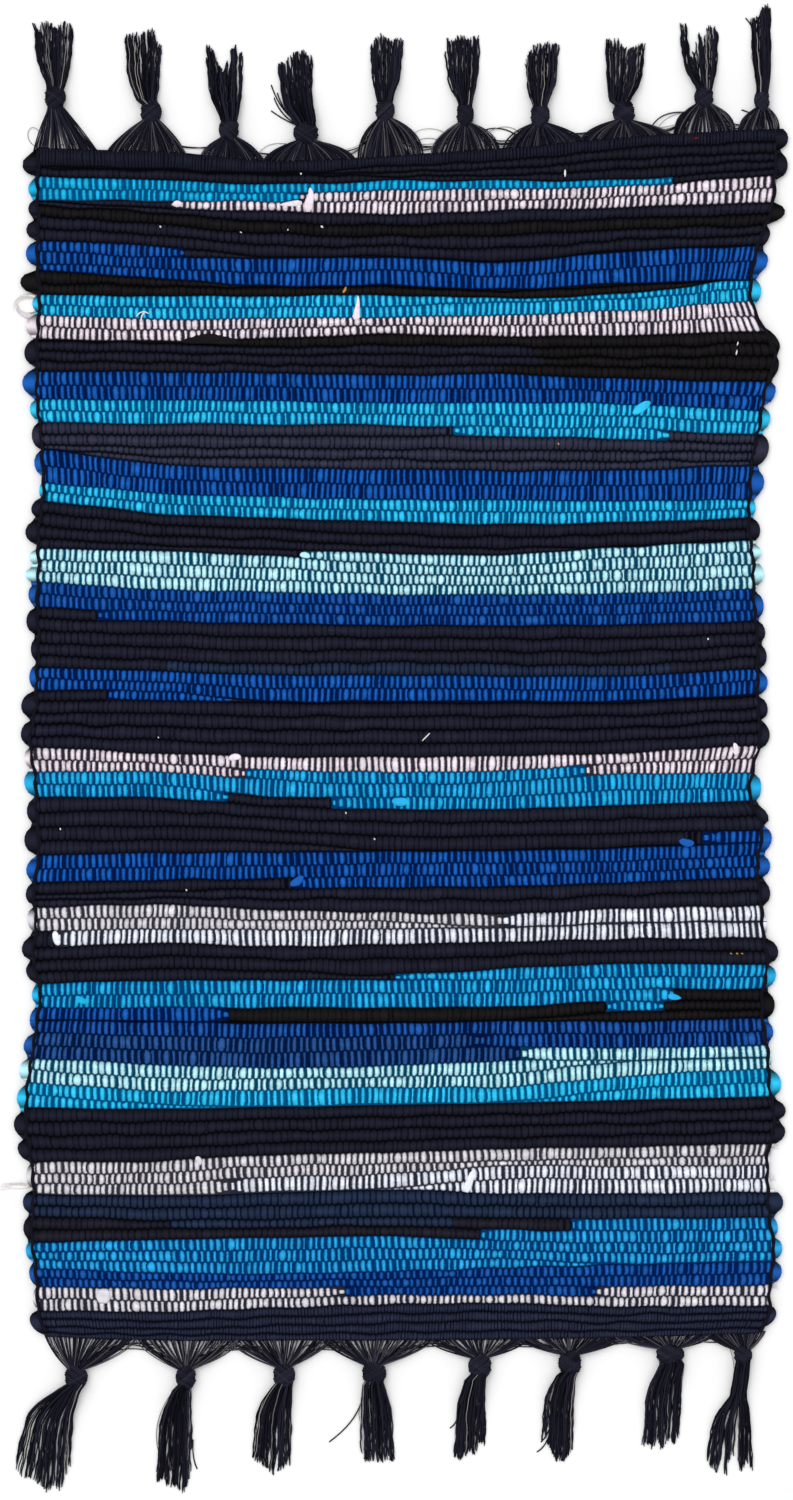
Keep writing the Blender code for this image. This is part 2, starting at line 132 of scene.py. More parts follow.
# The picks from the far end to the near one: which rag shows (with the x where one gives way
# to the next), how many picks, and the last one's lower edge in y at each of STATIONS.
STATIONS = (55, 160, 280, 390, 510, 640, 740)
TOP_EDGE = (148, 151, 160, 155, 147, 135, 130)
PICKS = (
    ("header", 1, 166, 168.5, 172.5, 166, 160, 147, 143),
    ("hem", 1, 167, 169.5, 173.5, 172, 168, 158, 154),
    ("hem", 1, 168, 170.5, 174.5, 176, 175, 168, 162),
    ("hem", 1, 177, 180, 184.3, 180.7, 180.6, 179, 171),
    ("cyan 674 hem", 1, 188.5, 190.5, 193, 190, 188.5, 185.5, 178),
    ("cyan 300 pink", 1, 200, 200.5, 201.5, 201, 200, 196, 190),
    ("navy 173 pink", 1, 202, 208, 211, 214, 210, 207, 203),
    ("navy", 1, 206, 213, 222, 225, 222, 218, 215),
    ("black", 1, 217, 224, 234, 236, 235, 229, 226),
    ("navy", 2, 241, 246, 257, 256, 261, 250, 246),
    ("royal 186 navy", 1, 252, 257, 258, 257, 262, 251, 247),
    ("royal", 1, 264, 268, 273, 270, 276, 267, 262),
    ("royal", 1, 271, 278, 286, 285, 289, 283, 280),
    ("black", 1, 283, 286, 287.5, 286.5, 291, 285, 280.6),
    ("black", 1, 295, 296, 296, 295, 298, 293.2, 281),
    ("bright", 1, 305, 307.5, 307, 306, 302, 298.3, 290.5),
    ("bright", 1, 315, 319, 318, 317, 315, 310, 303),
    ("pink", 2, 339, 341, 338, 334, 336, 335, 332),
    ("black", 1, 341, 343, 347, 345, 346, 347, 344),
    ("navy 536 black", 1, 351, 352.5, 355, 354, 356, 357.5, 356),
    ("navy 548 black", 1, 361, 362.5, 364.5, 366, 365, 367, 368.5),
    ("navy 494 black", 1, 371, 372, 373, 375, 374, 379, 381),
    ("royal", 2, 399.5, 400, 401, 403, 402.5, 404, 409),
    ("bright", 2, 422.5, 423.5, 424, 425, 427, 428, 433),
    ("slate 455 bright 668 slate", 1, 434, 435, 436, 436, 436, 439, 443),
    ("slate", 1, 445, 447, 448, 449, 450, 451, 452),
    ("slate", 1, 450, 456, 458, 459, 461, 461, 461),
    ("slate", 1, 451, 464, 468, 469, 470.5, 470, 466.5),
    ("royal", 2, 484, 493, 497, 499.5, 500, 501, 500),
    ("bright", 2, 502, 513, 518, 521, 524, 522, 519),
    ("navy", 1, 514, 524, 529, 534, 537, 534, 530),
    ("navy", 1, 527, 535, 540, 545, 548, 546, 541),
    ("navy", 1, 539, 545, 549, 553, 555, 547, 542),
    ("navy 302 aqua", 1, 549, 551, 556, 563, 566, 557.5, 553.5),
    ("aqua", 3, 583, 589.5, 592, 594.5, 594.5, 593.5, 590.5),
    ("cobalt", 1, 595, 601, 603, 605, 605, 604, 601),
    ("cobalt", 1, 608, 611, 613, 615, 615, 614, 611),
    ("navy 99 cobalt", 1, 619, 621, 623.5, 625, 625.5, 624.5, 622),
    ("night", 3, 656, 660, 664, 662, 664, 665, 659),
    ("night 168 ink 668 night", 1, 668, 671, 675, 675, 676, 676, 671),
    ("royal", 1, 679, 682, 688, 688, 689, 690, 683),
    ("royal", 1, 690, 691, 701, 701, 701, 701, 696),
    ("navy 105 royal 232 navy", 1, 701, 700, 703, 703, 703, 703, 698),
    ("night", 4, 748, 753, 757, 757, 756, 753, 747),
    ("pink", 1, 760, 763, 770, 772, 771, 763, 760),
    ("pink 245 cerulean 584 pink", 1, 772, 772, 780, 784, 782, 774, 773.5),
    ("cerulean", 1, 784.5, 785, 796.5, 797, 797, 790, 789),
    ("cerulean 225 navy 334 cerulean", 1, 797, 797.5, 806, 809, 809, 805, 802),
    ("night", 1, 812, 811, 818, 822, 822, 819, 817),
    ("night", 1, 827, 826, 830, 836, 836, 833, 831),
    ("navy 705 royal", 1, 841, 840, 842, 850, 850, 847, 843.5),
    ("night", 1, 855, 853, 852.5, 851.5, 850.5, 848, 844),
    ("royal", 1, 869, 867, 866, 863.5, 863, 861, 857),
    ("royal", 1, 882, 880, 878.5, 876, 875, 872, 868),
    ("navy 293 royal", 1, 894, 891, 889, 887.5, 886.5, 882.5, 878.5),
    ("night", 1, 900, 898, 899, 899, 900, 895, 892),
    ("night", 1, 907, 904.5, 910, 912.5, 914, 908.5, 906.5),
    ("grey 503 white", 1, 919, 917.5, 920, 921, 927, 922.5, 921.5),
    ("grey 503 white", 1, 931, 929, 930, 929, 927.5, 923, 922),
    ("navy 54 white", 1, 947, 943, 946.5, 944.5, 942, 939, 938),
    ("navy", 1, 960, 956, 959, 959, 956, 951, 951),
    ("navy", 1, 972, 969, 971, 975, 969, 964, 964.5),
    ("navy 397 cerulean", 1, 983, 981, 980.5, 980, 980, 977, 977),
    ("cerulean", 1, 995.5, 994.5, 994, 993, 993, 989, 989),
    ("cerulean 676 black", 1, 1008, 1007.5, 1007.5, 1007.5, 1006.5, 1001, 1001),
    ("royal 226 black 608 cerulean 664 black", 1, 1020, 1021, 1022.5, 1022.5, 1020.5, 1011, 1010),
    ("black", 1, 1020.5, 1021.5, 1023.5, 1023, 1021, 1021.5, 1019),
    ("indigo", 1, 1033, 1036, 1038, 1036, 1034, 1034, 1032),
    ("denim 480 indigo", 1, 1046, 1050, 1053, 1050, 1047, 1048, 1046),
    ("denim 521 aqua", 1, 1059, 1064.5, 1068, 1066, 1061, 1060, 1058),
    ("aqua", 1, 1071, 1078, 1079, 1077, 1074, 1061, 1058.5),
    ("aqua", 1, 1083.5, 1091, 1090, 1087.5, 1087, 1076, 1070.5),
    ("bright", 1, 1096, 1104, 1106.5, 1104, 1102, 1088.5, 1084),
    ("bright", 1, 1108, 1109, 1107, 1105, 1103, 1100, 1097.5),
    ("navy", 4, 1162.5, 1161.5, 1155, 1153, 1149, 1147, 1144.5),
    ("grey", 1, 1174, 1173, 1166, 1164, 1161, 1158, 1156.5),
    ("grey", 1, 1184, 1184, 1177, 1174.5, 1166, 1166.5, 1165.5),
    ("grey 230 white", 1, 1194, 1195.5, 1192, 1188.5, 1179, 1179.5, 1178.5),
    ("white", 1, 1194.7, 1196, 1193, 1190, 1193.5, 1193.7, 1192.5),
    ("ink", 1, 1206, 1208, 1206, 1203.5, 1206, 1206.5, 1205.5),
    ("ink", 1, 1217, 1220, 1219, 1217, 1218, 1219, 1218),
    ("brown 170 ink 450 brown 569 azure", 1, 1230, 1229, 1228, 1226, 1230, 1231, 1230),
    ("brown 480 azure", 1, 1242.5, 1240, 1238, 1236.5, 1241, 1243, 1242),
    ("azure", 1, 1251.5, 1251, 1250, 1248, 1250, 1253.5, 1252),
    ("azure", 1, 1260, 1262, 1262, 1260, 1259, 1264, 1261.6),
    ("azure", 1, 1269, 1273, 1274, 1271.5, 1268, 1264.5, 1262),
    ("cobalt", 1, 1278, 1281, 1281, 1279, 1277, 1276, 1274),
    ("cobalt", 1, 1287, 1289, 1288, 1287, 1286, 1286.5, 1285.5),
    ("cream 342 cobalt 595 cream", 1, 1299, 1301, 1298, 1295.5, 1295, 1297, 1296),
    ("cream", 1, 1311, 1312, 1308, 1304.5, 1303.5, 1307, 1306),
    ("low hem", 1, 1319, 1321, 1317, 1314, 1312, 1315, 1313),
    ("low hem", 1, 1327, 1329, 1326, 1323.5, 1321, 1323, 1321),
    ("low hem", 1, 1333, 1335, 1334, 1333, 1331, 1331, 1328.5),
    ("low hem", 1, 1338, 1341, 1341, 1341, 1340, 1338, 1335),
)

# The outermost warps: y, and x of the left one and of the right one.
EDGES = (
    (130, 38, 776), (150, 38, 776), (200, 38, 773), (250, 38, 757), (300, 39, 751),
    (325, 39, 762), (350, 37, 773), (400, 38, 763), (440, 41, 756), (480, 44, 750),
    (520, 40, 749), (570, 38, 753), (620, 38, 755), (660, 38, 758), (700, 36, 757),
    (740, 31, 760), (765, 33, 753), (800, 37, 751), (820, 38, 760), (860, 38, 758),
    (900, 34, 760), (930, 36, 763), (960, 34, 767), (990, 40, 763), (1020, 38, 763),
    (1060, 31, 768), (1090, 28, 770), (1130, 26, 773), (1160, 32, 767), (1200, 33, 768),
    (1250, 33, 773), (1290, 38, 770), (1318, 40, 767), (1335, 46, 757),
)

# The y between which the outermost warps are averaged where their short bends are left out, and
# the places above and below that the mean is taken over.
EDGE_SPAN = (135, 1335)
MEAN_STEPS = range(-80, 81, 20)

# Selvage loops, left and right: top y, bottom y, x of the outermost point, and rag. Then the
# reach at which a loop is fully puffed, and how far the edge stands out where there is none.
LEFT_LOOPS = (
    (152, 176, 22, "hem"), (178, 199, 28, "cyan"), (199, 218, 28, "navy"), (219, 240, 26, "navy"),
    (241, 266, 25.5, "royal"), (270, 294, 20, "black"), (295, 312, 32, "bright"),
    (314, 337, 25, "pink"), (338, 366, 24, "navy"), (369, 397, 22, "royal"),
    (399, 420, 29.5, "bright"), (423, 449, 31.5, "slate"), (451, 476, 34, "royal"),
    (481, 498, 39, "bright"), (498, 518, 31, "navy"), (519, 544, 25, "navy"),
    (549, 565, 29, "aqua"), (566, 583, 25, "aqua"), (583, 606, 28, "cobalt"),
    (607, 635, 26, "night"), (637, 661, 30.5, "night"), (664, 689, 29, "royal"),
    (691, 718, 21, "night"), (720, 746, 20.5, "night"), (748, 769, 24, "pink"),
    (770, 797, 24, "cerulean"), (798, 825, 26.5, "night"), (825, 855, 24, "night"),
    (857, 881, 26, "royal"), (882, 905, 25.5, "night"), (908, 932, 27, "grey"),
    (935, 961, 21.5, "navy"), (962, 984, 26, "navy"), (985, 1005, 31.5, "cerulean"),
    (1006, 1031, 29.5, "royal"), (1033, 1056, 23.5, "indigo"), (1058, 1082, 19, "aqua"),
    (1085, 1110, 16.5, "bright"), (1111, 1139, 13.5, "navy"), (1139, 1162, 17.5, "navy"),
    (1164, 1188, 26, "grey"), (1191, 1214, 22.5, "ink"), (1215, 1241, 23, "brown"),
    (1241, 1262, 25.5, "azure"), (1264, 1286, 29, "cobalt"), (1288, 1309, 32.5, "cream"),
    (1311, 1335, 30, "low hem"),
)
RIGHT_LOOPS = (
    (126, 150, 788.5, "hem"), (151, 179, 788, "hem"), (181, 200, 776, "pink"),
    (203, 223, 785, "black"), (226, 248, 769.5, "navy"), (249, 276, 768, "royal"),
    (278, 303, 761.5, "bright"), (305, 327, 760, "pink"), (328, 354, 779, "black"),
    (354, 380, 779, "black"), (381, 406, 775.5, "royal"), (408, 432, 770.5, "bright"),
    (433, 467, 769, "slate"), (468, 498, 764.5, "royal"), (498, 517, 756, "bright"),
    (517, 542, 760.5, "navy"), (543, 561, 761.5, "aqua"), (561, 586, 764, "aqua"),
    (592, 619, 764, "cobalt"), (620, 643, 765.5, "night"), (643, 669, 767, "night"),
    (671, 695, 768, "royal"), (696, 720, 768, "night"), (721, 750, 770, "night"),
    (752, 772, 757, "pink"), (773, 802, 761.5, "cerulean"), (803, 826, 768, "night"),
    (826, 854, 772, "royal"), (854, 878, 770.5, "royal"), (879, 906, 770.5, "night"),
    (910, 936, 767, "white"), (938, 964, 778.5, "navy"), (965, 989, 776, "cerulean"),
    (991, 1019, 775, "black"), (1020, 1042, 773.5, "royal"), (1043, 1068, 771.5, "aqua"),
    (1070, 1097, 781.5, "bright"), (1099, 1121, 786, "navy"), (1121, 1145, 785.5, "navy"),
    (1147, 1172, 770.5, "grey"), (1173, 1188, 769.5, "white"), (1189, 1215, 783.5, "ink"),
    (1216, 1237, 778, "azure"), (1237, 1260, 782.5, "azure"), (1261, 1284, 782, "cobalt"),
    (1286, 1305, 771, "cream"), (1306, 1328, 776, "low hem"),
)
LOOPS = (LEFT_LOOPS, RIGHT_LOOPS)
FULL_REACH = 12.0
LEAST_REACH = 1.2

# Tassels: knot x and y, its half width and half length, the fan's left and right x at the cloth,
# how domed the fan is and how many layers of yarn it has, x where the tail leaves the knot, how
# far it runs on as a bundle and how far that leans, and the line of its ends from left to right.
TASSELS = {
    "top_1": (55, 97, 10.5, 13, 33, 101, 0.0, 3, 56, 5, 0, (
        (33, 23), (38, 30), (42, 22), (50, 21), (56, 27), (62, 22), (70, 22), (73, 32),
    )),
    "top_2": (151, 112, 10.5, 12, 106, 189, 0.3, 4, 146, 3, 0, (
        (123, 40), (128, 33), (140, 33), (146, 30), (153, 28), (157, 41), (161, 46),
    )),
    "top_3": (229, 129, 10, 12.5, 199, 266, 0.65, 5, 229, 3, 0, (
        (206, 45), (213, 47), (217, 62), (224, 72), (229, 52), (236, 45), (242, 54),
    )),
    "top_4": (306, 133, 12.5, 12, 262, 357, 0.75, 6, 305, 2, 0, (
        (276, 68), (280, 62), (285, 64), (290, 54), (297, 52), (304, 50), (309, 57), (313, 51),
    )),
    "top_5": (385, 110, 9.5, 13, 357, 424, 0.85, 5, 385, 6, 0, (
        (370, 45), (374, 41), (379, 33), (386, 37), (392, 42), (397, 37), (403, 41),
    )),
    "top_6": (465, 114, 8.5, 13.5, 430, 500, 0.85, 5, 465, 3, 0, (
        (446, 38), (452, 41), (460, 35), (468, 38), (479, 36),
    )),
    "top_7": (540, 115, 9.5, 13, 503, 585, 0.75, 6, 540, 3, 0, (
        (524, 60), (529, 52), (533, 46), (537, 43), (543, 46), (547, 40), (553, 44), (560, 43),
    )),
    "top_8": (624, 113, 11, 12, 580, 672, 0.75, 6, 619, 3, 0, (
        (606, 38), (612, 40), (617, 38), (622, 44), (628, 49), (634, 48), (640, 43), (646, 43),
    )),
    "top_9": (704, 97, 9.5, 11, 674, 736, 0.95, 4, 704, 3, 0, (
        (680, 22), (686, 24), (690, 60), (696, 48), (699, 31), (703, 40), (708, 26), (714, 25),
        (719, 33),
    )),
    "top_10": (762, 100, 7.5, 12, 738, 780, 1.0, 4, 763, 8, 0, (
        (751, 20), (756, 17), (760, 15), (763, 7), (768, 4), (771, 8),
    )),
    "bottom_1": (76, 1377, 11.5, 12, 44, 140, 0.4, 2, 71, 2, 0, (
        (14, 1466), (20, 1477), (30, 1478), (38, 1484), (47, 1492), (53, 1486), (60, 1492),
        (64, 1480), (71, 1460),
    )),
    "bottom_2": (186, 1377, 10, 12.5, 134, 243, 0.5, 2, 182, 3, 0, (
        (155, 1482), (163, 1480), (168, 1487), (176, 1486), (183, 1493), (188, 1480), (193, 1466),
    )),
    "bottom_3": (284, 1375, 11, 13, 227, 334, 0.5, 2, 282, 2, 0, (
        (252, 1457), (259, 1464), (265, 1468), (274, 1475), (281, 1468), (289, 1465), (292, 1440),
    )),
    "bottom_4": (374, 1373, 12, 12.5, 320, 436, 0.5, 2, 373, 2, 0, (
        (360, 1452), (366, 1462), (374, 1460), (381, 1463), (388, 1458), (395, 1462),
    )),
    "bottom_5": (480, 1366, 11.5, 13, 424, 531, 0.5, 2, 476, 2, 0, (
        (454, 1458), (458, 1461), (465, 1456), (470, 1450), (475, 1456), (479, 1440), (485, 1446),
    )),
    "bottom_6": (570, 1363, 11.5, 13.5, 515, 632, 0.5, 2, 566, 2, 0, (
        (541, 1440), (546, 1436), (551, 1452), (557, 1461), (564, 1461), (569, 1456), (574, 1446),
    )),
    "bottom_7": (670, 1354, 14, 10, 614, 716, 0.6, 2, 672, 3, 0, (
        (642, 1446), (648, 1444), (653, 1450), (658, 1440), (661, 1450), (668, 1440), (675, 1444),
        (680, 1436),
    )),
    "bottom_8": (743, 1355, 9, 9.5, 704, 766, 0.5, 4, 745, 36, -7, (
        (707, 1462), (711, 1466), (717, 1474), (721, 1460), (725, 1478), (732, 1455), (738, 1462),
        (741, 1473), (747, 1460), (753, 1473),
    )),
}

# Yarns that stray from their tassel: its name, dark or pale, and the control points of the yarn.
STRAYS = (
    ("top_1", "dark", ((56, 86), (46, 70), (38, 40), (32, 22))),
    ("top_1", "pale", ((39, 131), (28, 118), (21, 140), (36, 146))),
    ("top_1", "pale", ((38, 146), (58, 146), (76, 138), (92, 147))),
    ("top_4", "dark", ((300, 124), (288, 116), (278, 105), (271, 84))),
    ("top_4", "dark", ((300, 126), (289, 120), (279, 112), (274, 97))),
    ("top_4", "dark", ((300, 126), (290, 122), (282, 118), (271, 110))),
    ("top_4", "dark", ((301, 125), (290, 117), (283, 110), (277, 92))),
    ("top_4", "pale", ((255, 158), (262, 146), (270, 141), (286, 143))),
    ("top_5", "pale", ((411, 135), (420, 126), (436, 126), (447, 133))),
    ("top_5", "pale", ((413, 142), (424, 136), (434, 136), (444, 142))),
    ("top_6", "pale", ((486, 134), (498, 124), (510, 124), (519, 131))),
    ("top_6", "dark", ((484, 130), (494, 126), (506, 127), (516, 134))),
    ("top_7", "dark", ((555, 130), (570, 134), (585, 134), (600, 128))),
    ("top_7", "pale", ((556, 131), (572, 137), (586, 137), (598, 130))),
    ("top_7", "dark", ((533, 104), (529, 88), (525, 72), (529, 57))),
    ("top_7", "pale", ((534, 104), (531, 90), (528, 76), (526, 58))),
    ("top_9", "dark", ((702, 108), (680, 106), (672, 122), (677, 138))),
    ("top_9", "dark", ((703, 109), (686, 110), (676, 122), (678, 136))),
    ("top_9", "dark", ((707, 109), (724, 110), (733, 124), (729, 136))),
    ("top_9", "dark", ((652, 126), (660, 112), (676, 110), (690, 112))),
    ("top_9", "pale", ((658, 128), (664, 116), (678, 112), (692, 110))),
    ("top_10", "dark", ((757, 40), (754, 28), (752, 24), (746, 17))),
    ("top_10", "dark", ((758, 113), (750, 113), (746, 110), (742, 109))),
    ("top_10", "dark", ((760, 112), (742, 114), (738, 124), (739, 136))),
    ("bottom_2", "pale", ((174, 1390), (160, 1408), (152, 1430), (158, 1452))),
    ("bottom_2", "dark", ((174, 1393), (164, 1410), (156, 1428), (160, 1446))),
    ("bottom_2", "dark", ((178, 1393), (168, 1412), (161, 1430), (159, 1470))),
    ("bottom_2", "dark", ((193, 1440), (192, 1452), (193, 1462), (197, 1470))),
    ("bottom_4", "dark", ((366, 1389), (360, 1404), (360, 1420), (329, 1443))),
    ("bottom_5", "dark", ((462, 1400), (459, 1414), (458, 1424), (450, 1429))),
    ("bottom_6", "dark", ((552, 1426), (549, 1438), (546, 1448), (537, 1453))),
    ("bottom_6", "dark", ((552, 1420), (550, 1430), (547, 1438), (541, 1443))),
    ("bottom_8", "pale", ((729, 1346), (740, 1374), (732, 1392), (726, 1412))),
    ("bottom_8", "dark", ((737, 1404), (716, 1420), (706, 1440), (708, 1462))),
    ("bottom_8", "pale", ((738, 1404), (720, 1418), (708, 1432), (710, 1452))),
)

# Loose ends of rag, lint and small specks on the face, the pale and gold specks partly painted
# glints: rag, height above the cells in millimetres, and the line that each follows as x, y and
# half width. Four pale shreds lie on the floor beside the left side, so their heights are negative.
SCRAPS = (
    ("pink", 0.3, ((310, 188, 1.5), (311, 195, 3), (309, 203, 4.5), (308, 212, 4))),
    ("pink", 0.2, ((280, 205, 1), (290, 204, 2.5), (302, 203, 3.5))),
    ("pink", 0.3, ((358, 296, 1), (358, 303, 1.8), (357, 311, 3), (356, 320, 4.5))),
    ("pink", 0.2, ((173, 204, 2), (177, 204, 3.4), (182, 204, 2.2))),
    ("black", 0.2, (
        (182, 342, 1.5), (194, 340, 4), (208, 338.5, 5.5), (222, 340, 4.5), (240, 343, 1.5),
    )),
    ("bright", 0.3, ((633, 414, 2.5), (641, 408, 4.5), (650, 402, 3))),
    ("white", 0.3, ((55, 931, 2.5), (56, 938, 3.5), (59, 945, 3))),
    ("cerulean", 0.3, ((668, 996, 3), (675, 997, 3), (681, 998, 1))),
    ("cerulean", 0.2, ((392, 801, 3), (401, 802, 4.5), (409, 801, 2.5))),
    ("royal", 0.2, ((290, 885, 2.5), (298, 881, 4), (303, 876, 2))),
    ("royal", 0.2, ((679, 840, 2.5), (687, 843, 4), (694, 843, 2.5))),
    ("pink", 0.3, ((734, 743, 1.5), (736, 748, 2.8), (736, 755, 3.2))),
    ("pink", 0.2, ((229, 759, 2.5), (235, 757, 3.5), (241, 757, 2))),
    ("cyan", 0.2, ((76, 997, 2), (81, 1000, 3.4), (87, 1003, 2))),
    ("aqua", 0.2, ((300, 555, 2), (305, 555, 3), (310, 557, 2))),
    ("grey", 0.4, ((97, 1296, 6.5), (103, 1296, 7.5), (110, 1296, 7))),
    ("white", 0.3, ((474, 1170, 2.5), (470, 1180, 3.5), (466, 1192, 4.5))),
    ("grey", 0.2, ((196, 1157, 2), (199, 1160, 3), (200, 1165, 2))),
    # Pale and gold specks: lint, and painted glints.
    ("lint_and_glint", 0.6, ((301, 173, 0.9), (301, 175, 0.9))),
    ("lint_and_glint", 0.6, ((565, 170, 1.1), (565, 177, 0.9))),
    ("lint_and_glint", 0.6, ((160, 226, 0.9), (161, 228, 0.9))),
    ("lint_and_glint", 0.5, ((240, 232, 0.6), (242, 233, 0.6))),
    ("lint_and_glint", 0.5, ((288, 229, 0.6), (288, 231, 0.6))),
    ("lint_and_glint", 0.6, ((321, 226, 1.1), (323, 228, 1.0))),
    ("lint_and_glint", 0.5, ((186, 889, 0.7), (187, 891, 0.7))),
    ("lint_and_glint", 0.5, ((346, 812, 0.7), (346, 814, 0.7))),
    ("lint_and_glint", 0.5, ((374, 838, 0.8), (375, 840, 0.8))),
    ("lint_and_glint", 0.5, ((60, 828, 0.7), (61, 830, 0.7))),
    ("lint_and_glint", 0.5, ((708, 638, 0.9), (708, 640, 0.9))),
    ("lint_and_glint", 0.6, ((738, 342, 0.9), (737, 346, 0.5))),
    ("lint_and_glint", 0.6, ((737, 350, 0.6), (736, 355, 0.9))),
    ("lint_and_glint", 0.5, ((158, 737, 0.6), (159, 738, 0.6))),
    ("gold", 0.6, ((343, 293, 1.0), (345, 290, 1.3), (346, 287, 0.7))),
    ("gold", 0.5, ((558, 443, 0.8), (559, 445, 0.8))),
    ("gold", 0.5, ((312, 422, 0.8), (313, 424, 0.8))),
    ("gold", 0.5, ((730, 953, 0.7), (732, 954, 0.6))),
    ("gold", 0.5, ((736, 953, 0.8), (738, 954, 0.7))),
    ("gold", 0.5, ((741, 953, 0.7), (743, 954, 0.6))),
    ("lint_and_glint", 0.5, ((136, 317, 0.5), (140, 313, 0.6), (145, 312, 0.6), (149, 314, 0.5))),
    ("lint_and_glint", 0.5, ((141, 322, 0.5), (142, 316, 0.7), (145, 312, 0.5))),
    ("lint_and_glint", 0.5, ((422, 741, 0.5), (426, 737, 0.7), (430, 733, 0.5))),
    ("red", 0.5, ((694, 139, 0.9), (698, 138, 1.0))),
    ("fluff", -4.8, ((38, 298, 5), (31, 300, 7), (24, 301, 7.5), (16, 303, 5))),
    ("fluff", -4.7, ((37, 307, 4), (28, 308, 5), (18, 308, 3.5))),
    ("lilac", -4.6, ((16, 308, 1.6), (21, 312, 2.6), (27, 315, 3), (33, 317, 3), (38, 319, 2))),
    ("fluff", -4.6, ((31, 1186, 1.6), (20, 1187, 2.2), (11, 1187, 1.8), (4, 1186, 0.8))),
)

# Tufts of fuzz along the sides: the control points of each, how many fibres, and how far they
# spread. Then the fibres' radius in millimetres.
FUZZ = (
    (((34, 298), (20, 294), (14, 300), (16, 310)), 8, 4),
    (((30, 1186), (20, 1183), (12, 1188), (3, 1186)), 8, 5),
    (((762, 1284), (768, 1286), (772, 1288), (776, 1286)), 14, 4),
    (((760, 1180), (766, 1178), (770, 1180), (773, 1177)), 14, 4),
    (((764, 1150), (770, 1148), (773, 1148), (776, 1145)), 10, 4),
)
FIBRE_RADIUS = 0.13

# The outermost warps' radius in millimetres.
WARP_RADIUS = 1.45

# Yarns of a tassel: the knot's height and a yarn's radius in millimetres, how many yarns the
# tail has and how many locks they gather in, how far apart the fan's yarns leave the cloth in
# photo pixels, and how light stray ones are.
KNOT_TOP = 10.2
YARN_RADIUS = 0.6
TAIL_YARNS = 62
TAIL_LOCKS = 10
FAN_PITCH = 3.0
SHADES = {"dark": 0.35, "pale": 1.8}

# The colour that pale yarns turn towards, pale fibre that also stands for painted glints, which
# share of a fan's and of a tail's yarns is pale, and which share of a tail's yarns is cut short.
PALE_FIBRE_AND_GLINT = (200, 192, 184)
PALE_FAN_SHARE = 0.25
PALE_TAIL_SHARE = 0.08
SHORT_TAIL_SHARE = 0.25

# How many thin yarns hang from a tassel across to the next one. The others have MOST_LINKS.
LINKS = {"top_1": 0, "top_2": 3, "top_3": 4, "top_4": 4, "top_5": 5, "top_6": 5, "top_7": 4}
MOST_LINKS = 6

# Points along each kind of yarn.
FAN_POINTS = 9
CORE_POINTS = 11
WRAP_POINTS = 21
TAIL_POINTS = 15
STRAY_POINTS = 14
WARP_POINTS = 420

# The stage, in metres and degrees: the floor's side, how strong the surroundings and the lamp
# are, the lamp's width in the sky, and how far its light leans towards the near end and to the
# right.
FLOOR_SIZE = 4.0
SKY_STRENGTH = 0.85
LAMP_ENERGY = 0.9
LAMP_WIDTH = 50
LAMP_TILT = (-24, -20)

SEED = 20


def srgb(values):
    """Linear colour of 0 to 255 sRGB values."""
    v = np.asarray(values, float) / 255
    return np.where(v <= 0.04045, v / 12.92, ((v + 0.055) / 1.055) ** 2.4)


def place(x, y, height):
    """Metres in the CAD frame, of photo pixels and millimetres above the floor."""
    x, y, height = np.broadcast_arrays(x, y, height)
    return np.stack([(x - ORIGIN_X) * PIXEL, (ORIGIN_Y - y) * PIXEL, height * MM], axis=-1)


def smooth(knots, values, x):
    """Values at knots, joined by a smooth curve. The knots run along the last axis."""
    knots, values, x = (np.asarray(a, float) for a in (knots, values, x))
    slopes = np.gradient(values, knots, axis=-1)
    at = np.clip(x, knots[0], knots[-1])
    i = np.clip(np.searchsorted(knots, at) - 1, 0, len(knots) - 2)
    span = knots[i + 1] - knots[i]
    t = (at - knots[i]) / span
    start, end = values[..., i], values[..., i + 1]
    rise_in, rise_out = slopes[..., i] * span, slopes[..., i + 1] * span
    curve = (
        start * (1 + 2 * t) * (1 - t) ** 2
        + end * t * t * (3 - 2 * t)
        + rise_in * t * (1 - t) ** 2
        - rise_out * t * t * (1 - t)
    )
    outside = x - at
    edge_slope = np.where(outside < 0, slopes[..., :1], slopes[..., -1:])
    return curve + outside * edge_slope


def wander(rng, shape, along, reach, waves=4):
    """Smooth random curves, one for each entry of shape, that vary along an axis."""
    total = np.zeros(tuple(shape) + (len(along),))
    for _ in range(waves):
        length = rng.uniform(0.6, 1.8, size=tuple(shape) + (1,)) * reach
        phase = rng.uniform(0, 2 * math.pi, size=tuple(shape) + (1,))
        total += np.sin(2 * math.pi * np.asarray(along) / length + phase)
    return total / math.sqrt(waves * 2)


def read_picks():
    """The chart as one entry for each pick: its runs of rag, and the edges at the stations."""
    runs, edges = [], [np.array(TOP_EDGE, float)]
    for words, count, *line in PICKS:
        parts = words.replace("low hem", "low_hem").split()
        names = [n.replace("_", " ") for n in parts[::2]]
        ends = [float(x) for x in parts[1::2]] + [1e6]
        start = edges[-1]
        for k in range(1, count + 1):
            edges.append(start + (np.array(line, float) - start) * k / count)
            runs.append(list(zip(ends, names)))
    return runs, np.array(edges)


def rag_at(runs, x):
    """Which rag of a pick shows at x."""
    return next(name for end, name in runs if x < end)


